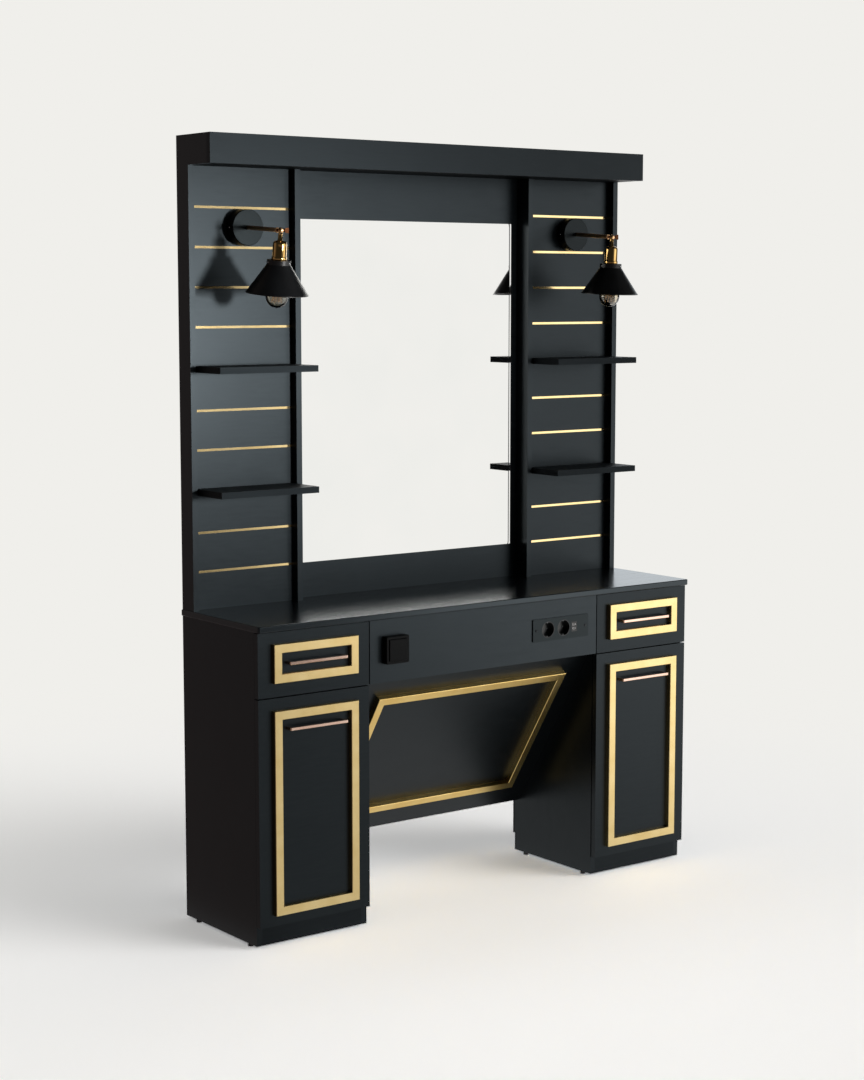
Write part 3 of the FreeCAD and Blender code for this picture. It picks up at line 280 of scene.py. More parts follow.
# %% Floor sheet and the paper that is seen
FLOOR_HALF, PAPER_GAIN = 30.0, 16.0
SHADOW_NEAR, SHADOW_FAR, SHADOW_SHARE = 0.4, 3.2, 0.82
sheet_mesh = bpy.data.meshes.new("floor")
paper = bmesh.new()
bmesh.ops.create_grid(paper, x_segments=1, y_segments=1, size=FLOOR_HALF)
paper.to_mesh(sheet_mesh)
paper.free()
floor = bpy.data.objects.new("floor", sheet_mesh)
bpy.context.scene.collection.objects.link(floor)
floor_paper = bpy.data.materials.new("backdrop_paper")
floor_paper.use_nodes = True
floor.data.materials.append(floor_paper)
tree = floor_paper.node_tree
tree.nodes.clear()
where = add(tree, "ShaderNodeTexCoord").outputs["Object"]
distance = add(tree, "ShaderNodeVectorMath", {0: where}, operation="LENGTH").outputs["Value"]
near = add(tree, "ShaderNodeMapRange", {
    "Value": distance, "From Min": SHADOW_NEAR, "From Max": SHADOW_FAR, "To Min": SHADOW_SHARE,
    "To Max": 0.0}, interpolation_type="SMOOTHSTEP").outputs["Result"]
lifted = [c * PAPER_GAIN for c in linear("#F0F0F1")[:3]]
lit = add(tree, "ShaderNodeBsdfDiffuse", {"Color": (*lifted, 1.0)})
plain = add(tree, "ShaderNodeEmission", {"Color": BACKDROP, "Strength": 1.0})
seen = add(tree, "ShaderNodeMixShader", {0: near, 1: plain.outputs[0], 2: lit.outputs[0]})
print("floor is", floor.dimensions[:2], "m")

# %% [markdown]
# Satin surfaces see the floor in their reflections, bright at the right and warm and dim in the
# shadow at the left, so it is drawn for them as a plain glow. All other light that reaches the
# floor meets a grey sheet, which bounces a little of it up onto the boards.

# %% The floor in reflections
BRIGHT_START, BRIGHT_END, BRIGHT_LEVELS = 0.5, 2.2, (0.72, 1.3)
SHADE_START, SHADE_END, SHADE_LEVEL = -0.8, -0.5, 0.20
rightwards = add(tree, "ShaderNodeSeparateXYZ", {0: where}).outputs["X"]
brightness = add(tree, "ShaderNodeMapRange", {
    "Value": rightwards, "From Min": BRIGHT_START, "From Max": BRIGHT_END,
    "To Min": BRIGHT_LEVELS[0], "To Max": BRIGHT_LEVELS[1]}).outputs["Result"]
out_of_shade = add(tree, "ShaderNodeMapRange", {
    "Value": rightwards, "From Min": SHADE_START, "From Max": SHADE_END}).outputs["Result"]
shaded = add(tree, "ShaderNodeEmission", {"Color": WARM_SHADE, "Strength": SHADE_LEVEL})
bright = add(tree, "ShaderNodeEmission", {"Color": SOFT_WHITE, "Strength": brightness})
mirrored = add(tree, "ShaderNodeMixShader", {0: out_of_shade, 1: shaded.outputs[0],
                                             2: bright.outputs[0]})
grey = add(tree, "ShaderNodeBsdfDiffuse", {"Color": linear("#C2C2C1")})
rays = add(tree, "ShaderNodeLightPath").outputs
unseen = add(tree, "ShaderNodeMixShader", {0: rays["Is Glossy Ray"], 1: grey.outputs[0],
                                           2: mirrored.outputs[0]})
both = add(tree, "ShaderNodeMixShader", {0: sharp_rays(tree), 1: unseen.outputs[0],
                                         2: seen.outputs[0]})
add(tree, "ShaderNodeOutputMaterial", {"Surface": both.outputs[0]})
print("floor nodes:", len(tree.nodes))

# %% [markdown]
# ## A base for every finish
# Each finish is one Principled shader. The function below makes it with object coordinates ready to
# use, and gives back the tree, the shader and the coordinates, so each recipe only adds what makes
# that material itself. Nearly all values of a noise lie between NOISE_LOW and NOISE_HIGH, so those
# two are stretched to a finish's own limits.

# %% Start of a finish
NOISE_LOW, NOISE_HIGH = 0.3, 0.7
MM = 0.001


def finish_start(name, shader_values):
    """A material with a Principled shader; gives the material, its tree, shader and coordinates."""
    material = bpy.data.materials.new(name)
    material.use_nodes = True
    tree = material.node_tree
    tree.nodes.clear()
    shader = add(tree, "ShaderNodeBsdfPrincipled", shader_values)
    add(tree, "ShaderNodeOutputMaterial", {"Surface": shader.outputs[0]})
    where = add(tree, "ShaderNodeTexCoord").outputs["Object"]
    return material, tree, shader, where


print("noise runs from", NOISE_LOW, "to", NOISE_HIGH)

# %% [markdown]
# ## Satin black laminate
# The boards are particle board faced with melamine paper, pressed against a plate with a fine
# linen-like grain. The plate leaves shallow streaks along the board and a fine mottle, so the
# satin sheen breaks up softly, and its cool tint turns the black boards slate in the light. Three
# noises make it: stretched streaks 9 mm apart, a mottle of 3 mm and a cloud of 160 mm. The real
# streaks are finer, and are drawn at 9 mm to show at all.

# %% Laminate recipe
STREAK_MM, MOTTLE_MM, CLOUD_MM = 9.0, 3.0, 160.0
BOTH_LOW, BOTH_HIGH = 0.75, 1.25  # limits of streaks and cloud added together
LAMINATE_SHEEN = linear("#E0F4FF")


def laminate(name, stretch, colours=("#14181B", "#1D2225"), rough=(0.32, 0.40), sheen=0.32,
             press_mm=0.05):
    """Melamine-faced board: streaks along one axis, a fine mottle and a pressed grain."""
    material, tree, shader, where = finish_start(
        name, {"IOR": 1.5, "Specular Tint": LAMINATE_SHEEN, "Specular IOR Level": sheen})
    along = add(tree, "ShaderNodeMapping", {"Vector": where, "Scale": stretch}).outputs["Vector"]
    streaks = add(tree, "ShaderNodeTexNoise", {
        "Vector": along, "Scale": per_mm(STREAK_MM), "Detail": 6.0, "Roughness": 0.65}).outputs[0]
    mottle = add(tree, "ShaderNodeTexNoise", {
        "Vector": where, "Scale": per_mm(MOTTLE_MM), "Detail": 3.0, "Roughness": 0.6}).outputs[0]
    cloud = add(tree, "ShaderNodeTexNoise", {
        "Vector": where, "Scale": per_mm(CLOUD_MM), "Detail": 2.0, "Roughness": 0.6}).outputs[0]
    shade = add(tree, "ShaderNodeMath", {0: streaks, 1: cloud}, operation="ADD").outputs[0]
    share = add(tree, "ShaderNodeMapRange", {
        "Value": shade, "From Min": BOTH_LOW, "From Max": BOTH_HIGH}).outputs["Result"]
    colour = add(tree, "ShaderNodeMix", {0: share, 6: linear(colours[0]), 7: linear(colours[1])},
                 data_type="RGBA").outputs[2]
    tree.links.new(colour, shader.inputs["Base Color"])
    blur = add(tree, "ShaderNodeMapRange", {
        "Value": streaks, "From Min": NOISE_LOW, "From Max": NOISE_HIGH,
        "To Min": rough[0], "To Max": rough[1]}).outputs["Result"]
    tree.links.new(blur, shader.inputs["Roughness"])
    grain = add(tree, "ShaderNodeMath", {0: streaks, 1: mottle}, operation="ADD").outputs[0]
    relief = add(tree, "ShaderNodeBump", {"Height": grain, "Distance": press_mm * MM})
    tree.links.new(relief.outputs["Normal"], shader.inputs["Normal"])
    return material


print("streaks have scale", round(per_mm(STREAK_MM)), "and the sheen is", LAMINATE_SHEEN[:3])

# %% [markdown]
# The station is cut from one kind of board, but its faces don't look the same. The sheet lies upright or across,
# some parts are edge-banded, and each pressing plate leaves another gloss. The apron carries a painted sheen, and
# the worktop and the soffit painted shade.

# %% Laminates
UPWARDS, ACROSS, LONG_ACROSS = (1.0, 1.0, 0.14), (0.14, 1.0, 1.0), (0.05, 1.0, 1.0)

# Melamine board cut with its grain upright, for sides and dividers: satin, with upright streaks.
upright_laminate = laminate("satin_black_laminate_upright", UPWARDS)
# The same board turned, for the doors, drawers, slats and back: its streaks run across the front.
across_laminate = laminate("satin_black_laminate_across", ACROSS)
# The apron is the same board with a stronger sheen than the fronts beside it: a painted sheen that makes it come
# out lighter.
apron_laminate_painted_sheen = laminate("satin_black_laminate_apron_painted_sheen", ACROSS, sheen=0.44)
# Cornice and plinths with edge band ironed on: a little rougher, so their light is softer.
edge_laminate = laminate("satin_black_laminate_banded", ACROSS, rough=(0.42, 0.50), sheen=0.25)
# Thin shelf board, pressed between matt plates: it hardly shines, even at a flat angle.
shelf_laminate = laminate("satin_black_laminate_shelf", LONG_ACROSS, rough=(0.50, 0.60), sheen=0.16)
# Worktop laminate, pressed against a polished plate: almost glossy, so light lies on it in a band. Its colours are
# darker than the other boards': painted shade on its top.
worktop_laminate_painted_shade = laminate("satin_black_laminate_worktop_painted_shade", LONG_ACROSS, ("#0B0E10", "#12161A"),
                        (0.20, 0.23), 0.50, 0.004)
# Underside of the cornice: the same board coloured darker, with almost no sheen, as painted shade that turns it a
# flat black.
soffit_laminate_painted_shade = laminate("satin_black_laminate_soffit_painted_shade", LONG_ACROSS, ("#0A0C0D", "#101314"),
                           (0.5, 0.6), 0.05)
# Carcass board of the insides, with a plain dark grey facing: paler and duller than the fronts.
inside_laminate = laminate("satin_black_laminate_inside", LONG_ACROSS, ("#2A2E31", "#34393C"),
                           (0.42, 0.55))
print("laminates:", upright_laminate.name, across_laminate.name, inside_laminate.name)

# %% [markdown]
# ## Metals, enamel and plastic
# All other finishes share one recipe: the colour drifts in broad patches, and a fine grain gives
# both the roughness and a faint relief. On brushed metal the grain is stretched into hairlines, and
# on enamel and moulded plastic it is an even orange peel or pebble. One image per finish would do
# it too, but noises need no file and keep their size in millimetres.

# %% Shared recipe


def surface(name, colours, rough, grain_mm, depth_mm, shader_values, stretch, octaves, crispness,
            patch_mm):
    """Patches of two colours, with roughness and relief from one fine grain."""
    material, tree, shader, where = finish_start(name, shader_values)
    patches = add(tree, "ShaderNodeTexNoise", {
        "Vector": where, "Scale": per_mm(patch_mm), "Detail": 2.0, "Roughness": 0.6}).outputs["Fac"]
    share = add(tree, "ShaderNodeMapRange", {
        "Value": patches, "From Min": NOISE_LOW, "From Max": NOISE_HIGH}).outputs["Result"]
    colour = add(tree, "ShaderNodeMix", {0: share, 6: linear(colours[0]), 7: linear(colours[1])},
                 data_type="RGBA").outputs[2]
    tree.links.new(colour, shader.inputs["Base Color"])
    along = add(tree, "ShaderNodeMapping", {"Vector": where, "Scale": stretch}).outputs["Vector"]
    grain = add(tree, "ShaderNodeTexNoise", {
        "Vector": along, "Scale": per_mm(grain_mm), "Detail": octaves,
        "Roughness": crispness}).outputs["Fac"]
    blur = add(tree, "ShaderNodeMapRange", {
        "Value": grain, "From Min": NOISE_LOW, "From Max": NOISE_HIGH,
        "To Min": rough[0], "To Max": rough[1]}).outputs["Result"]
    tree.links.new(blur, shader.inputs["Roughness"])
    relief = add(tree, "ShaderNodeBump", {"Height": grain, "Distance": depth_mm * MM})
    tree.links.new(relief.outputs["Normal"], shader.inputs["Normal"])
    return material


def metal(name, colours, rough, grain_mm, stretch=(1.0, 1.0, 1.0), depth_mm=0.01):
    """A metal: a crisp grain, stretched where it was brushed."""
    return surface(name, colours, rough, grain_mm, depth_mm, {"Metallic": 1.0}, stretch, 5.0, 0.7,
                   60.0)


def coated(name, colours, rough, pebble_mm, depth_mm, shader_values):
    """Paint or moulded plastic: a slight orange peel or pebble."""
    return surface(name, colours, rough, pebble_mm, depth_mm, shader_values, (1.0, 1.0, 1.0), 3.0,
                   0.6, 40.0)


print("recipes:", metal.__name__, coated.__name__)

# %% [markdown]
# The trim bars are moulded profiles wrapped in a gold metallic foil: bright where it faces the
# light and dark brown on the flanks that face the black boards. The strips between the slats are
# narrower and smoother, the handles are copper, and the lamps have brass of two kinds. Real
# brushing is about 0.1 mm wide. It is drawn at 0.8 mm and more, or it would not show.

# %% Gold, copper and brass
BRUSHED, DRAWN, POLISHED = (0.2, 1.0, 0.2), (0.04, 1.0, 1.0), (0.1, 1.0, 1.0)

# Metallic foil, brushed and rolled onto the trim bars: a soft pale gold without sharp glints.
gold_foil = metal("brushed_gold_foil", ("#E4C889", "#EED59B"), (0.26, 0.40), 0.8, BRUSHED)
# The same foil on the sloping panel, coloured a brighter, yellower gold: a painted reflection of the light the
# gold bounces onto itself in the shade of the apron.
gold_knee_painted_reflection = metal("brushed_gold_foil_knee_painted_reflection", ("#EEC878", "#F6D68C"), (0.26, 0.40), 0.8, BRUSHED)
# Drawn strips between the slats, smooth along their length: thin lines that shine end to end.
gold_strip = metal("gold_strip", ("#E0C58C", "#EAD29C"), (0.12, 0.17), 0.8, DRAWN, 0.003)
# Bow handles of copper-plated rod, polished along it: one warm pink highlight from end to end.
copper = metal("polished_copper", ("#E6BFAA", "#F0D0BD"), (0.14, 0.22), 1.5, POLISHED)
# Lampholder, spun from brass and clear lacquered: mirror-like, with dark and bright upright bands.
lamp_brass = metal("lacquered_brass", ("#BA9456", "#CEAA6C"), (0.06, 0.10), 1.2, depth_mm=0.003)
# Lamp arm of drawn brass tube, dulled by age: brownish, with a broad soft sheen along it.
arm_brass = metal("aged_brass_tube", ("#EDBE8E", "#F6CDA0"), (0.38, 0.46), 1.2)
# Cast wing screw, coloured an almost brown copper: painted shade that keeps the flat wing from catching the light,
# with a little warm light on its edges.
wing_copper_painted_shade = metal("copper_wing_painted_shade", ("#3C2416", "#4C2E1C"), (0.36, 0.46), 1.2)
print("warm metals:", gold_foil.name, copper.name, lamp_brass.name)

# %% [markdown]
# Steel parts are small here, and each has its own plating. Zinc covers hinges and slides, the
# screws in the socket plate are blackened so that they don't stand out, the lamps' screws are
# bright, and the clips inside the sockets are bare spring steel.

# %% Steel
# Zinc plating from a bath, on pressed steel: pale grey and evenly dull.
zinc = metal("zinc_plated_steel", ("#A9ADB0", "#C4C7C9"), (0.30, 0.45), 1.0)
# Screw heads, blackened in hot oil: charcoal, with a weak glint.
dark_steel = metal("blackened_steel", ("#2A2C2E", "#3A3C3E"), (0.30, 0.45), 0.8)
# Bright plated screws, polished before plating: tiny white points of light.
bright_steel = metal("bright_plated_steel", ("#D4D6D8", "#ECEDEE"), (0.12, 0.22), 0.8)
# Rolled spring steel, left bare in the sockets: a dull grey that just shows in the black wells.
clip_steel = metal("dull_spring_steel", ("#5A5C5E", "#6E7072"), (0.26, 0.36), 0.8)
print("steels:", zinc.name, dark_steel.name, bright_steel.name, clip_steel.name)

# %% [markdown]
# The lamps' canopies and shades are black enamel on spun steel. The switch, the sockets and the
# charging module are moulded ABS, slightly pebbled by the mould, and the glides are nylon. Each
# index of refraction starts from about 1.5 and is then matched: lower where the real part looks
# duller than that, higher for the white tongues, which stay pale in their dark slots.

# %% Enamel and plastic
COOL_SHEEN = linear("#E2F8FF")  # canopies and socket plate reflect almost as coolly as the boards

# Canopies, sprayed and stoved: semi-gloss with a faint orange peel, so a soft light lies on them.
canopy_enamel = coated("semi_gloss_black_enamel", ("#0A0C0E", "#0E1114"), (0.28, 0.34), 6.0, 0.004,
                       {"IOR": 1.27, "Specular Tint": COOL_SHEEN})
# Shades, powder coated: a finer texture and a satin black that fades softly round the cone.
satin_enamel = coated("satin_black_enamel", ("#0E0F11", "#131517"), (0.34, 0.42), 1.2, 0.01,
                      {"IOR": 1.4})
# Socket plate, moulded ABS with a fine pebble: even satin black.
black_abs = coated("black_moulded_abs", ("#101518", "#161B1E"), (0.36, 0.46), 0.8, 0.01,
                   {"IOR": 1.4, "Specular Tint": COOL_SHEEN})
# Switch, moulded ABS with a spark-eroded texture: matt, so only its edges take light.
switch_abs = coated("black_matt_abs", ("#0C0D0E", "#111314"), (0.48, 0.58), 0.8, 0.01,
                    {"IOR": 1.22})
# Socket wells and charging module, ABS from a polished mould: glossier than the plate round them.
socket_abs = coated("socket_black_abs", ("#0C0D0E", "#131516"), (0.26, 0.36), 0.8, 0.008,
                    {"IOR": 1.53})
# Tongues in the charging slots, white moulded ABS: two pale lines.
white_abs = coated("white_moulded_abs", ("#F2F3F1", "#FCFCFA"), (0.30, 0.40), 0.8, 0.008,
                   {"IOR": 1.9})
# Glides, moulded from black nylon and scuffed by the floor: the dullest black here.
nylon = coated("black_nylon", ("#121314", "#1A1B1C"), (0.45, 0.60), 0.8, 0.02, {"IOR": 1.53})
print("coatings:", canopy_enamel.name, satin_enamel.name, nylon.name)

# %% [markdown]
# ## Mirror
# A mirror is silvered behind clear glass, so it reflects without any blur. Silver has hardly any
# colour of its own, and a very wide, faint haze keeps it from being perfectly even.

# %% Silvered glass
HAZE_MM = 220.0
silvered, tree, shader, where = finish_start("silvered_mirror", {"Metallic": 1.0, "Roughness": 0.0})
haze = add(tree, "ShaderNodeTexNoise", {
    "Vector": where, "Scale": per_mm(HAZE_MM), "Detail": 2.0, "Roughness": 0.6}).outputs["Fac"]
share = add(tree, "ShaderNodeMapRange", {
    "Value": haze, "From Min": NOISE_LOW, "From Max": NOISE_HIGH}).outputs["Result"]
silver = add(tree, "ShaderNodeMix", {0: share, 6: linear("#FCFDFD"), 7: linear("#FFFFFF")},
             data_type="RGBA").outputs[2]
tree.links.new(silver, shader.inputs["Base Color"])
print("mirror:", silvered.name)

# %% [markdown]
# The mirror's edge is ground to a bevel, 10 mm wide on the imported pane. The silver lies flat behind
# it and light bends on its way in and out, so what is seen leans less than the facet does and shows
# as a narrow line of other light. The shader therefore gives the front a normal of its own. Its
# lean is a staircase along each axis: a row below says where a step starts and by how much the lean
# changes there. The right side has one more narrow facet, its arris. The pane's sides keep their
# own normal.

# %% Bevel of the mirror
BEVEL_SEEN, ARRIS_SEEN, LEAN_IN, LEAN_OUT = 0.0075, 0.0030, 0.065, 0.16
SAME_WAY = 0.9
low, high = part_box("mirror")
flat_x = (high[0] - low[0]) / 2 - BEVEL_SEEN
flat_low, flat_high = low[2] + BEVEL_SEEN, high[2] - BEVEL_SEEN
STEPS = {
    "X": ((-flat_x, -LEAN_IN), (flat_x - ARRIS_SEEN, LEAN_OUT), (flat_x, -LEAN_OUT - LEAN_IN)),
    "Z": ((flat_low, -LEAN_IN), (flat_high, -LEAN_IN)),
}
place = add(tree, "ShaderNodeSeparateXYZ", {0: where}).outputs
lean = {"X": LEAN_IN, "Z": LEAN_IN}
for axis, steps in STEPS.items():
    for start, change in steps:
        past = add(tree, "ShaderNodeMath", {0: place[axis], 1: start}, operation="GREATER_THAN")
        lean[axis] = add(tree, "ShaderNodeMath", {0: past.outputs[0], 1: change, 2: lean[axis]},
                         operation="MULTIPLY_ADD").outputs[0]
tilted = add(tree, "ShaderNodeCombineXYZ", {"X": lean["X"], "Y": -1.0, "Z": lean["Z"]})
unit = add(tree, "ShaderNodeVectorMath", {0: tilted.outputs[0]}, operation="NORMALIZE")
own = add(tree, "ShaderNodeNewGeometry").outputs["Normal"]
towards_front = add(tree, "ShaderNodeVectorMath", {0: own, 1: heading(0, 0)},
                    operation="DOT_PRODUCT").outputs["Value"]
on_front = add(tree, "ShaderNodeMath", {0: towards_front, 1: SAME_WAY}, operation="GREATER_THAN")
normal = add(tree, "ShaderNodeMix", {0: on_front.outputs[0], 4: own, 5: unit.outputs[0]},
             data_type="VECTOR")
tree.links.new(normal.outputs[1], shader.inputs["Normal"])
print("bevel shows", BEVEL_SEEN / MM, "mm wide and leans", round(math.degrees(LEAN_IN), 1), "deg")

# %% [markdown]
# ## Dress the solids
# Each imported solid gets its finish here, through the one material slot of its mesh. Boards that
# stand get the upright laminate, and boards and fronts whose grain runs across get the others.

# %% Give each node its finish
# The apron's stronger sheen, the darker worktop and soffit, the knee trim's brighter gold and the near-brown wing
# screws are painted sheen, shade and reflection.
FINISHES = {
    upright_laminate: "pedestal_outer_sides pedestal_inner_sides frame_sides frame_dividers",
    across_laminate: "knee_panel back_panel slat_boards_left slat_boards_right drawer_front_left "
                     "drawer_front_right door_left door_right",
    apron_laminate_painted_sheen: "apron",
    edge_laminate: "cornice_front cornice_top plinths",
    shelf_laminate: "shelves_left shelves_right",
    worktop_laminate_painted_shade: "worktop",
    soffit_laminate_painted_shade: "soffit",
    inside_laminate: "pedestal_bottoms pedestal_rails pedestal_shelves base_backs slat_battens "
                     "drawer_box_left drawer_box_right",
    gold_knee_painted_reflection: "knee_trim",
    gold_foil: "drawer_trim_left drawer_trim_right door_trim_left door_trim_right",
    gold_strip: "slat_strips",
    copper: "drawer_handle_left drawer_handle_right door_handle_left door_handle_right",
    lamp_brass: "lamp_holder_left lamp_holder_right",
    arm_brass: "lamp_arms",
    wing_copper_painted_shade: "lamp_thumb_screws",
    silvered: "mirror",
    canopy_enamel: "lamp_canopies",
    satin_enamel: "lamp_shade_left lamp_shade_right",
    black_abs: "socket_plate",
    switch_abs: "switch_housing switch_rocker",
    socket_abs: "socket_wells usb_module",
    dark_steel: "plate_screws",
    zinc: "hinge_arms hinge_cups_left hinge_cups_right drawer_rails_fixed drawer_slides_left "
          "drawer_slides_right",
    nylon: "glides",
}
dressed = set()
for material, names in FINISHES.items():
    for name in names.split():
        mesh = frame["nodes"][name].data
        mesh.materials.clear()
        mesh.materials.append(material)
        dressed.add(name)
print("dressed", len(dressed), "nodes; left:", sorted(set(frame["nodes"]) - dressed))

# %% [markdown]
# ## Clear bulbs
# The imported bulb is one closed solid. The real one is a thin glass globe on a brass screw cap, with
# a glass stem inside that carries a hand-wound filament. Everything is turned round the lamp's own
# axis, so each profile is written in the lamp's frame, in millimetres below the tilting hinge, and
# then carried to its place by the hinge point and the tilt at rest.

# %% Lamp frames at rest
LAMP_TILT = {"left": math.radians(7), "right": math.radians(3)}
hinges = {joint["name"]: Vector(joint["pos_m"]) for joint in frame["joints"] if "pos_m" in joint}
lamp_frames = {}
for side, tilt in LAMP_TILT.items():
    hinge = hinges[f"lamp_{side}_tilt"]
    lamp_frames[side] = (Matrix.Translation(hinge) @ Matrix.Rotation(tilt, 4, "X")
                         @ Matrix.Scale(MM, 4))
    print(side, "lamp hangs from", [round(v, 3) for v in hinge])

# %% [markdown]
# Bulbs, holders and tubes are all round, and Spin makes a round shape from half its outline, as a
# lathe does. The points on the axis fall together, so doubles are merged. A second function
# turns the finished bmesh into a named piece, and a third gives the points of an arc.

# %% Helpers for turned pieces
MERGE_MM = 0.0005


def turned(work, profile, steps=48):
    """Turns a profile of (radius, height) points round the Z axis into the bmesh."""
    points = [work.verts.new((r, 0.0, z)) for r, z in profile]
    rim = [work.edges.new(pair) for pair in zip(points, points[1:])]
    bmesh.ops.spin(work, geom=points + rim, axis=(0, 0, 1), cent=(0, 0, 0), angle=math.tau,
                   steps=steps, use_merge=True, use_duplicate=False)
    bmesh.ops.remove_doubles(work, verts=work.verts, dist=MERGE_MM)


def piece(name, work, place, material, body, smooth=True):
    """Turns a bmesh into a named piece that stands at its place and rides on a body."""
    work.transform(place)
    bmesh.ops.recalc_face_normals(work, faces=work.faces)
    mesh = bpy.data.meshes.new(name)
    work.to_mesh(mesh)
    work.free()
    mesh.materials.append(material)
    for polygon in mesh.polygons:
        polygon.use_smooth = smooth
    item = bpy.data.objects.new(name, mesh)
    bpy.context.scene.collection.objects.link(item)
    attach(item, body)
    return item


def arc(centre_r, centre_z, radius, start, end, steps):
    """Points of an arc in the profile plane, angles in degrees from straight out."""
    turns = [math.radians(start + (end - start) * k / steps) for k in range(steps + 1)]
    return [(centre_r + radius * math.cos(t), centre_z + radius * math.sin(t)) for t in turns]


print("a quarter circle:", [(round(r, 1), round(z, 1)) for r, z in arc(0, 0, 10, 0, 90, 3)])

# %% [markdown]
# The globe is a wall of clear soda glass under a millimetre thick, blown into a mould. Its surface
# has a faint waviness that breaks up the bright outlines at its rim. Refraction and gloss are mixed
# by Fresnel, with a high index, because a thin wall with two surfaces shines more than one does.
# The cap is rolled from thin brass, with a soft broken sheen. The filament is a drawn wire that
# has been glowing, so it is brown and dull.

# %% Glass, cap and filament finishes
WAVE_MM, WAVE_DEPTH_MM = 14.0, 0.15
bulb_glass = bpy.data.materials.new("clear_bulb_glass")
bulb_glass.use_nodes = True
tree = bulb_glass.node_tree
tree.nodes.clear()
where = add(tree, "ShaderNodeTexCoord").outputs["Object"]
waviness = add(tree, "ShaderNodeTexNoise", {
    "Vector": where, "Scale": per_mm(WAVE_MM), "Detail": 2.0, "Roughness": 0.6}).outputs["Fac"]
ripple = add(tree, "ShaderNodeBump", {
    "Height": waviness, "Distance": WAVE_DEPTH_MM * MM}).outputs["Normal"]
share = add(tree, "ShaderNodeMapRange", {
    "Value": waviness, "From Min": NOISE_LOW, "From Max": NOISE_HIGH}).outputs["Result"]
clearness = add(tree, "ShaderNodeMix", {0: share, 6: linear("#F6F1E6"), 7: linear("#FBF8F1")},
                data_type="RGBA").outputs[2]
edge = add(tree, "ShaderNodeFresnel", {"Normal": ripple, "IOR": 1.8})
through = add(tree, "ShaderNodeBsdfRefraction", {
    "Color": clearness, "Normal": ripple, "IOR": 1.5, "Roughness": 0.0})
shine = add(tree, "ShaderNodeBsdfGlossy", {"Normal": ripple, "Roughness": 0.03})
glass = add(tree, "ShaderNodeMixShader", {0: edge.outputs[0], 1: through.outputs[0],
                                          2: shine.outputs[0]})
add(tree, "ShaderNodeOutputMaterial", {"Surface": glass.outputs[0]})
cap_brass = metal("bulb_cap_brass", ("#B98F4A", "#D2AC66"), (0.22, 0.34), 1.0)
filament_wire = metal("filament_wire", ("#A58058", "#C09A70"), (0.30, 0.45), 0.5)
print("bulb finishes:", bulb_glass.name, cap_brass.name, filament_wire.name)

# %% [markdown]
# The globe is blown on a neck, and where the air was sealed off a small tip stays at its lowest
# point. Its wall is made as an outer and an inner profile that meet at the top of the neck, so the
# glass is one closed shell.

# %% Globe profiles
CAP_LOW, GLOBE_MIDDLE = -90.0, -161.0
NECK_R, GLOBE_R, GLASS_WALL = 15.2, 27.8, 0.8
SHOULDER_TURN, TIP_TURN, TIP_LOW, ARC_STEPS = 48, 66, -189.2, 24
neck = [(NECK_R + wider, CAP_LOW - lower)
        for wider, lower in ((0.0, 0.0), (0.0, 16.0), (0.6, 26.0), (2.0, 36.0))]
inner_neck = [(r - GLASS_WALL, z) for r, z in reversed(neck)]
outer = neck + arc(0.0, GLOBE_MIDDLE, GLOBE_R, SHOULDER_TURN, -TIP_TURN, ARC_STEPS)
outer += [(3.2, TIP_LOW + 1.3), (1.6, TIP_LOW + 0.4), (0.0, TIP_LOW)]
inner = [(0.0, TIP_LOW + 2.2), (3.0, TIP_LOW + 2.4)]
inner += arc(0.0, GLOBE_MIDDLE, GLOBE_R - GLASS_WALL, -TIP_TURN, SHOULDER_TURN, ARC_STEPS)
inner += inner_neck + [neck[0]]
print("globe", 2 * GLOBE_R, "mm across, lowest point", TIP_LOW)

# %% [markdown]
# The screw cap has a thread of 3.62 mm pitch. A true helix would hardly look different at this
# size, so plain ridges are turned instead. The glass stem inside the neck is a solid turned rod
# with a flare at the top and a bead at its end, where the filament's hooks are fused in.

# %% Cap and stem profiles
BULB_TOP, CAP_R, STEM_LOW = -50.0, 13.0, -132.0
THREAD_PITCH, THREAD_DEPTH, THREAD_START, RIDGES = 3.62, 0.9, 4.0, 16
cap = [(0.0, BULB_TOP), (5.0, BULB_TOP), (7.0, BULB_TOP - 3.0)]
cap += [(CAP_R - THREAD_DEPTH * (k % 2), BULB_TOP - THREAD_START - THREAD_PITCH / 2 * k)
        for k in range(RIDGES)]
cap += [(NECK_R, CAP_LOW), (0.0, CAP_LOW)]
stem = [(0.0, CAP_LOW), (9.0, CAP_LOW), (5.0, CAP_LOW - 12.0), (2.6, CAP_LOW - 20.0),
        (2.2, STEM_LOW), (3.2, STEM_LOW - 3.0), (0.0, STEM_LOW - 6.0)]
print("cap", 2 * CAP_R, "mm across with", RIDGES // 2, "turns of thread")

# %% [markdown]
# Now each profile is turned into a piece of its own, because glass and brass are different parts
# of the real bulb. All three ride on their lamp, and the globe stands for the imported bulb.

# %% Blow the globes and fit caps and stems
GLOBE_STEPS, CAP_STEPS, STEM_STEPS = 56, 40, 24
for side, place in lamp_frames.items():
    work = bmesh.new()
    turned(work, outer, GLOBE_STEPS)
    turned(work, inner, GLOBE_STEPS)
    globe = piece(f"bulb_globe_{side}", work, place, bulb_glass, f"lamp_{side}")
    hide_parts(f"lamp_bulb_{side}")
    work = bmesh.new()
    turned(work, cap, CAP_STEPS)
    piece(f"bulb_cap_{side}", work, place, cap_brass, f"lamp_{side}")
    work = bmesh.new()
    turned(work, stem, STEM_STEPS)
    piece(f"bulb_stem_{side}", work, place, bulb_glass, f"lamp_{side}")
print("bulbs made for", list(lamp_frames))

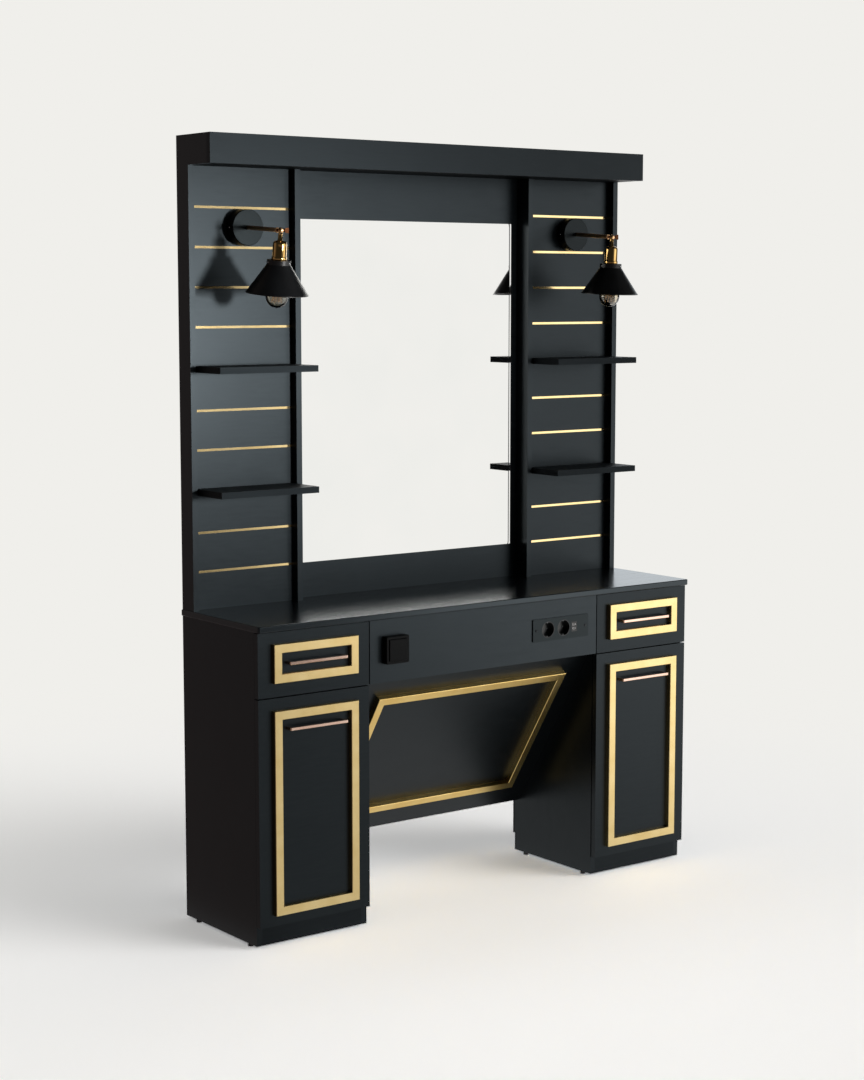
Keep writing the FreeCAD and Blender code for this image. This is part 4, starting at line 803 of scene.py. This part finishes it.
# %% [markdown]
# The filament hangs in a cage of tall loops between an upper and a lower ring of hooks. Each loop
# runs up on one side and down on the next, so the wire is one zigzag round a circle that is wider
# below than above. The wire is 0.7 mm thick, and at that size a square one looks round, so one
# little box for each run keeps it light.

# %% Wind the filaments
LOOPS, WIRE = 9, 0.35
UPPER_RING, LOWER_RING = (6.0, -133.0), (13.0, -176.0)
LEAD_TURN, LEAD_ROOT, LEAD_KNEE, KNEE_DROP = 0.6, 2.0, 8.0, 8.0


def wire_along(work, points):
    """A thin square wire through points, one little box for each run."""
    for start, end in zip(points, points[1:]):
        run = end - start
        turn = run.to_track_quat("Z", "Y").to_matrix().to_4x4()
        at = Matrix.Translation((start + end) / 2)
        box = Matrix.Diagonal((2 * WIRE, 2 * WIRE, run.length + WIRE, 1.0))
        bmesh.ops.create_cube(work, size=1.0, matrix=at @ turn @ box)


zigzag = []
for k in range(2 * LOOPS):
    r, z = (UPPER_RING, LOWER_RING)[k % 2]
    turn = math.pi * k / LOOPS
    zigzag.append(Vector((r * math.cos(turn), r * math.sin(turn), z)))
for side, place in lamp_frames.items():
    work = bmesh.new()
    wire_along(work, zigzag)
    for turn in (LEAD_TURN, LEAD_TURN + math.pi):
        out = Vector((math.cos(turn), math.sin(turn), 0.0))
        wire_along(work, [out * LEAD_ROOT + Vector((0, 0, STEM_LOW)),
                          out * LEAD_KNEE + Vector((0, 0, STEM_LOW - KNEE_DROP)),
                          out * LOWER_RING[0] + Vector((0, 0, LOWER_RING[1]))])
    piece(f"bulb_filament_{side}", work, place, filament_wire, f"lamp_{side}",
          smooth=False)
print("filaments with", LOOPS, "loops")

# %% [markdown]
# ## Spun brass skins
# The lampholder is a spun brass cup with a round shoulder and a rolled bead at its mouth. Its
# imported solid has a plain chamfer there, so a thin spun shell goes over it, open for the fork above
# and closed round the cap below. Widening the solid would do, but the shell gives the real wall.

# %% Holder shells
SHOULDER_MIDDLE, SHOULDER_R = (9.0, -33.6), 8.35
CUP_R, SHELL_STEPS = SHOULDER_MIDDLE[0] + SHOULDER_R, 64
holder_shell = [(5.0, -10.2), (5.7, -11.0), (5.7, -22.6)]  # neck
holder_shell += [(6.9, -23.2), (7.4, -24.0), (7.4, -25.2)]  # ring under the neck
holder_shell += arc(*SHOULDER_MIDDLE, SHOULDER_R, 90, 0, 10) + [(CUP_R, -63.6)]  # shoulder and cup
holder_shell += [(17.6, -64.1), (18.5, -64.6), (18.8, -65.4), (18.8, -71.2), (18.5, -72.0)]  # bead
holder_shell += [(16.0, -72.1), (16.0, -34.0), (9.0, -27.5), (4.5, -26.5), (4.5, -10.2),
                 (5.0, -10.2)]  # inside, back up to the start
for side, place in lamp_frames.items():
    work = bmesh.new()
    turned(work, holder_shell, SHELL_STEPS)
    piece(f"holder_shell_{side}", work, place, lamp_brass, f"lamp_{side}")
print("holder shell", 2 * CUP_R, "mm across")

# %% [markdown]
# The arm is a brass tube with a ferrule near the knuckle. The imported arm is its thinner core, so a
# turned tube goes over it, laid along the arm's own droop. Both tubes are one piece, because both
# arms are one solid.

# %% Arm tubes
ARM_DROOP, TUBE_STEPS = math.radians(4), 40
TUBE_R, BORE_R, FERRULE_R, TUBE_START, TUBE_END = 5.5, 3.5, 6.4, 14.0, 149.0
tube = [(BORE_R, TUBE_START), (5.6, TUBE_START), (FERRULE_R, TUBE_START + 0.8),
        (FERRULE_R, TUBE_START + 3.6), (5.7, TUBE_START + 4.4), (TUBE_R, TUBE_START + 5.0),
        (TUBE_R, TUBE_END), (BORE_R, TUBE_END), (BORE_R, TUBE_START)]
along = Matrix.Rotation(ARM_DROOP, 4, "X") @ Matrix.Rotation(-math.pi / 2, 4, "X")
work = bmesh.new()
for side in lamp_frames:
    one = bmesh.new()
    turned(one, tube, TUBE_STEPS)
    one.transform(Matrix.Translation(hinges[f"lamp_{side}_tilt"] / MM) @ along)
    one_mesh = bpy.data.meshes.new("arm_tube_part")
    one.to_mesh(one_mesh)
    one.free()
    work.from_mesh(one_mesh)
    bpy.data.meshes.remove(one_mesh)
piece("arm_tubes", work, Matrix.Scale(MM, 4), arm_brass, "station")
print("arm tubes", 2 * TUBE_R, "mm across")

# %% [markdown]
# ## Contacts and small screws
# Each socket well has two contact sleeves in its floor and a pair of sprung earth clips at its top
# and bottom, with lips that bend inwards at the mouth. They are dull spring steel, and only just
# show in the black well. The wells' middles and depth come from the record's own mounts.

# %% Socket contacts
SLEEVE_APART, SLEEVE_R, SLEEVE_THICK, SLEEVE_STEPS = 19.0, 2.6, 0.8, 20
CLIP_WIDTH, CLIP_THICK, CLIP_SHORTER, CLIP_BACK = 5.0, 1.0, 4.0, 1.0
LIP_LONG, LIP_IN, LIP_BEND, LIP_DEEP = 5.0, 2.5, math.radians(35), 5.0
work = bmesh.new()
for mount in frame["record"]["mounts"]:
    if mount["kind"] != "bore":
        continue
    middle = Vector(mount["pos_m"]) / MM
    radius, depth = mount["dims"]["r_mm"], mount["dims"]["length_mm"]
    sleeve_y = middle.y + depth / 2 - SLEEVE_THICK / 2
    for across in (-SLEEVE_APART / 2, SLEEVE_APART / 2):
        at = Matrix.Translation((middle.x + across, sleeve_y, middle.z))
        bmesh.ops.create_cone(work, cap_ends=True, segments=SLEEVE_STEPS, radius1=SLEEVE_R,
                              radius2=SLEEVE_R, depth=SLEEVE_THICK,
                              matrix=at @ Matrix.Rotation(math.pi / 2, 4, "X"))
    for up in (-1, 1):
        at = Matrix.Translation((middle.x, middle.y + CLIP_BACK,
                                 middle.z + up * (radius - CLIP_THICK)))
        clip = Matrix.Diagonal((CLIP_WIDTH, depth - CLIP_SHORTER, CLIP_THICK, 1.0))
        bmesh.ops.create_cube(work, size=1.0, matrix=at @ clip)
        at = Matrix.Translation((middle.x, middle.y - depth / 2 + LIP_DEEP,
                                 middle.z + up * (radius - LIP_IN)))
        bend = Matrix.Rotation(up * LIP_BEND, 4, "X")
        lip = Matrix.Diagonal((CLIP_WIDTH, LIP_LONG, CLIP_THICK, 1.0))
        bmesh.ops.create_cube(work, size=1.0, matrix=at @ bend @ lip)
contacts = piece("socket_contacts", work, Matrix.Scale(MM, 4), clip_steel, "station",
                 smooth=False)
print("contacts:", len(contacts.data.polygons), "faces")

# %% [markdown]
# The charging module beside the wells has two slots, each with a pale tongue that carries its
# contacts. A tongue is a flat bar, so a stretched cube is all it takes.

# %% Charging tongues
SLOT_APART, TONGUE, TONGUE_IN = 11.0, (12.2, 1.0, 4.8), 0.8
usb_low, usb_high = (Vector(corner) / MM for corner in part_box("usb_module"))
usb_middle = (usb_low + usb_high) / 2
work = bmesh.new()
for up in (-SLOT_APART / 2, SLOT_APART / 2):
    at = Matrix.Translation((usb_middle.x, usb_low.y + TONGUE_IN, usb_middle.z + up))
    bmesh.ops.create_cube(work, size=1.0, matrix=at @ Matrix.Diagonal((*TONGUE, 1.0)))
piece("usb_tongues", work, Matrix.Scale(MM, 4), white_abs, "station", smooth=False)
print("tongues", TONGUE[0], "mm wide and", SLOT_APART, "mm apart")

# %% [markdown]
# A small round-headed screw in the side of each canopy holds it to its bracket, and three more hold
# each shade in its collar. Only their heads show, so each is a flattened sphere, half sunk in.

# %% Screws that hold the lamps
CANOPY_R, SIDE_HEAD_R, COLLAR_R, COLLAR_MIDDLE, SET_HEAD_R = 45.0, 2.2, 29.5, -77.5, 1.9
FLAT, SET_TURNS = 0.6, (-1.15, 0.95, 3.05)
canopy_low, canopy_high = (Vector(corner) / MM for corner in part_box("lamp_canopies"))
canopy_middle = (canopy_low + canopy_high) / 2
work = bmesh.new()
for side in lamp_frames:
    side_x = hinges[f"lamp_{side}_tilt"].x / MM - CANOPY_R
    at = Matrix.Translation((side_x, canopy_middle.y, canopy_middle.z))
    head = Matrix.Rotation(-math.pi / 2, 4, "Y") @ Matrix.Diagonal((1.0, 1.0, FLAT, 1.0))
    bmesh.ops.create_uvsphere(work, u_segments=16, v_segments=8, radius=SIDE_HEAD_R,
                              matrix=at @ head)
piece("canopy_side_screws", work, Matrix.Scale(MM, 4), bright_steel, "station")
for side, place in lamp_frames.items():
    work = bmesh.new()
    for turn in SET_TURNS:
        at = Matrix.Rotation(turn, 4, "Z") @ Matrix.Translation((COLLAR_R, 0, COLLAR_MIDDLE))
        bmesh.ops.create_uvsphere(work, u_segments=14, v_segments=8, radius=SET_HEAD_R,
                                  matrix=at @ Matrix.Diagonal((FLAT, 1.0, 1.0, 1.0)))
    piece(f"shade_set_screws_{side}", work, place, bright_steel, f"lamp_{side}")
print("screws: 1 on each canopy,", len(SET_TURNS), "on each collar")

# %% [markdown]
# ## Finish
# The Standard view shows each colour about as it is written.

bpy.context.scene.view_settings.view_transform = "Standard"
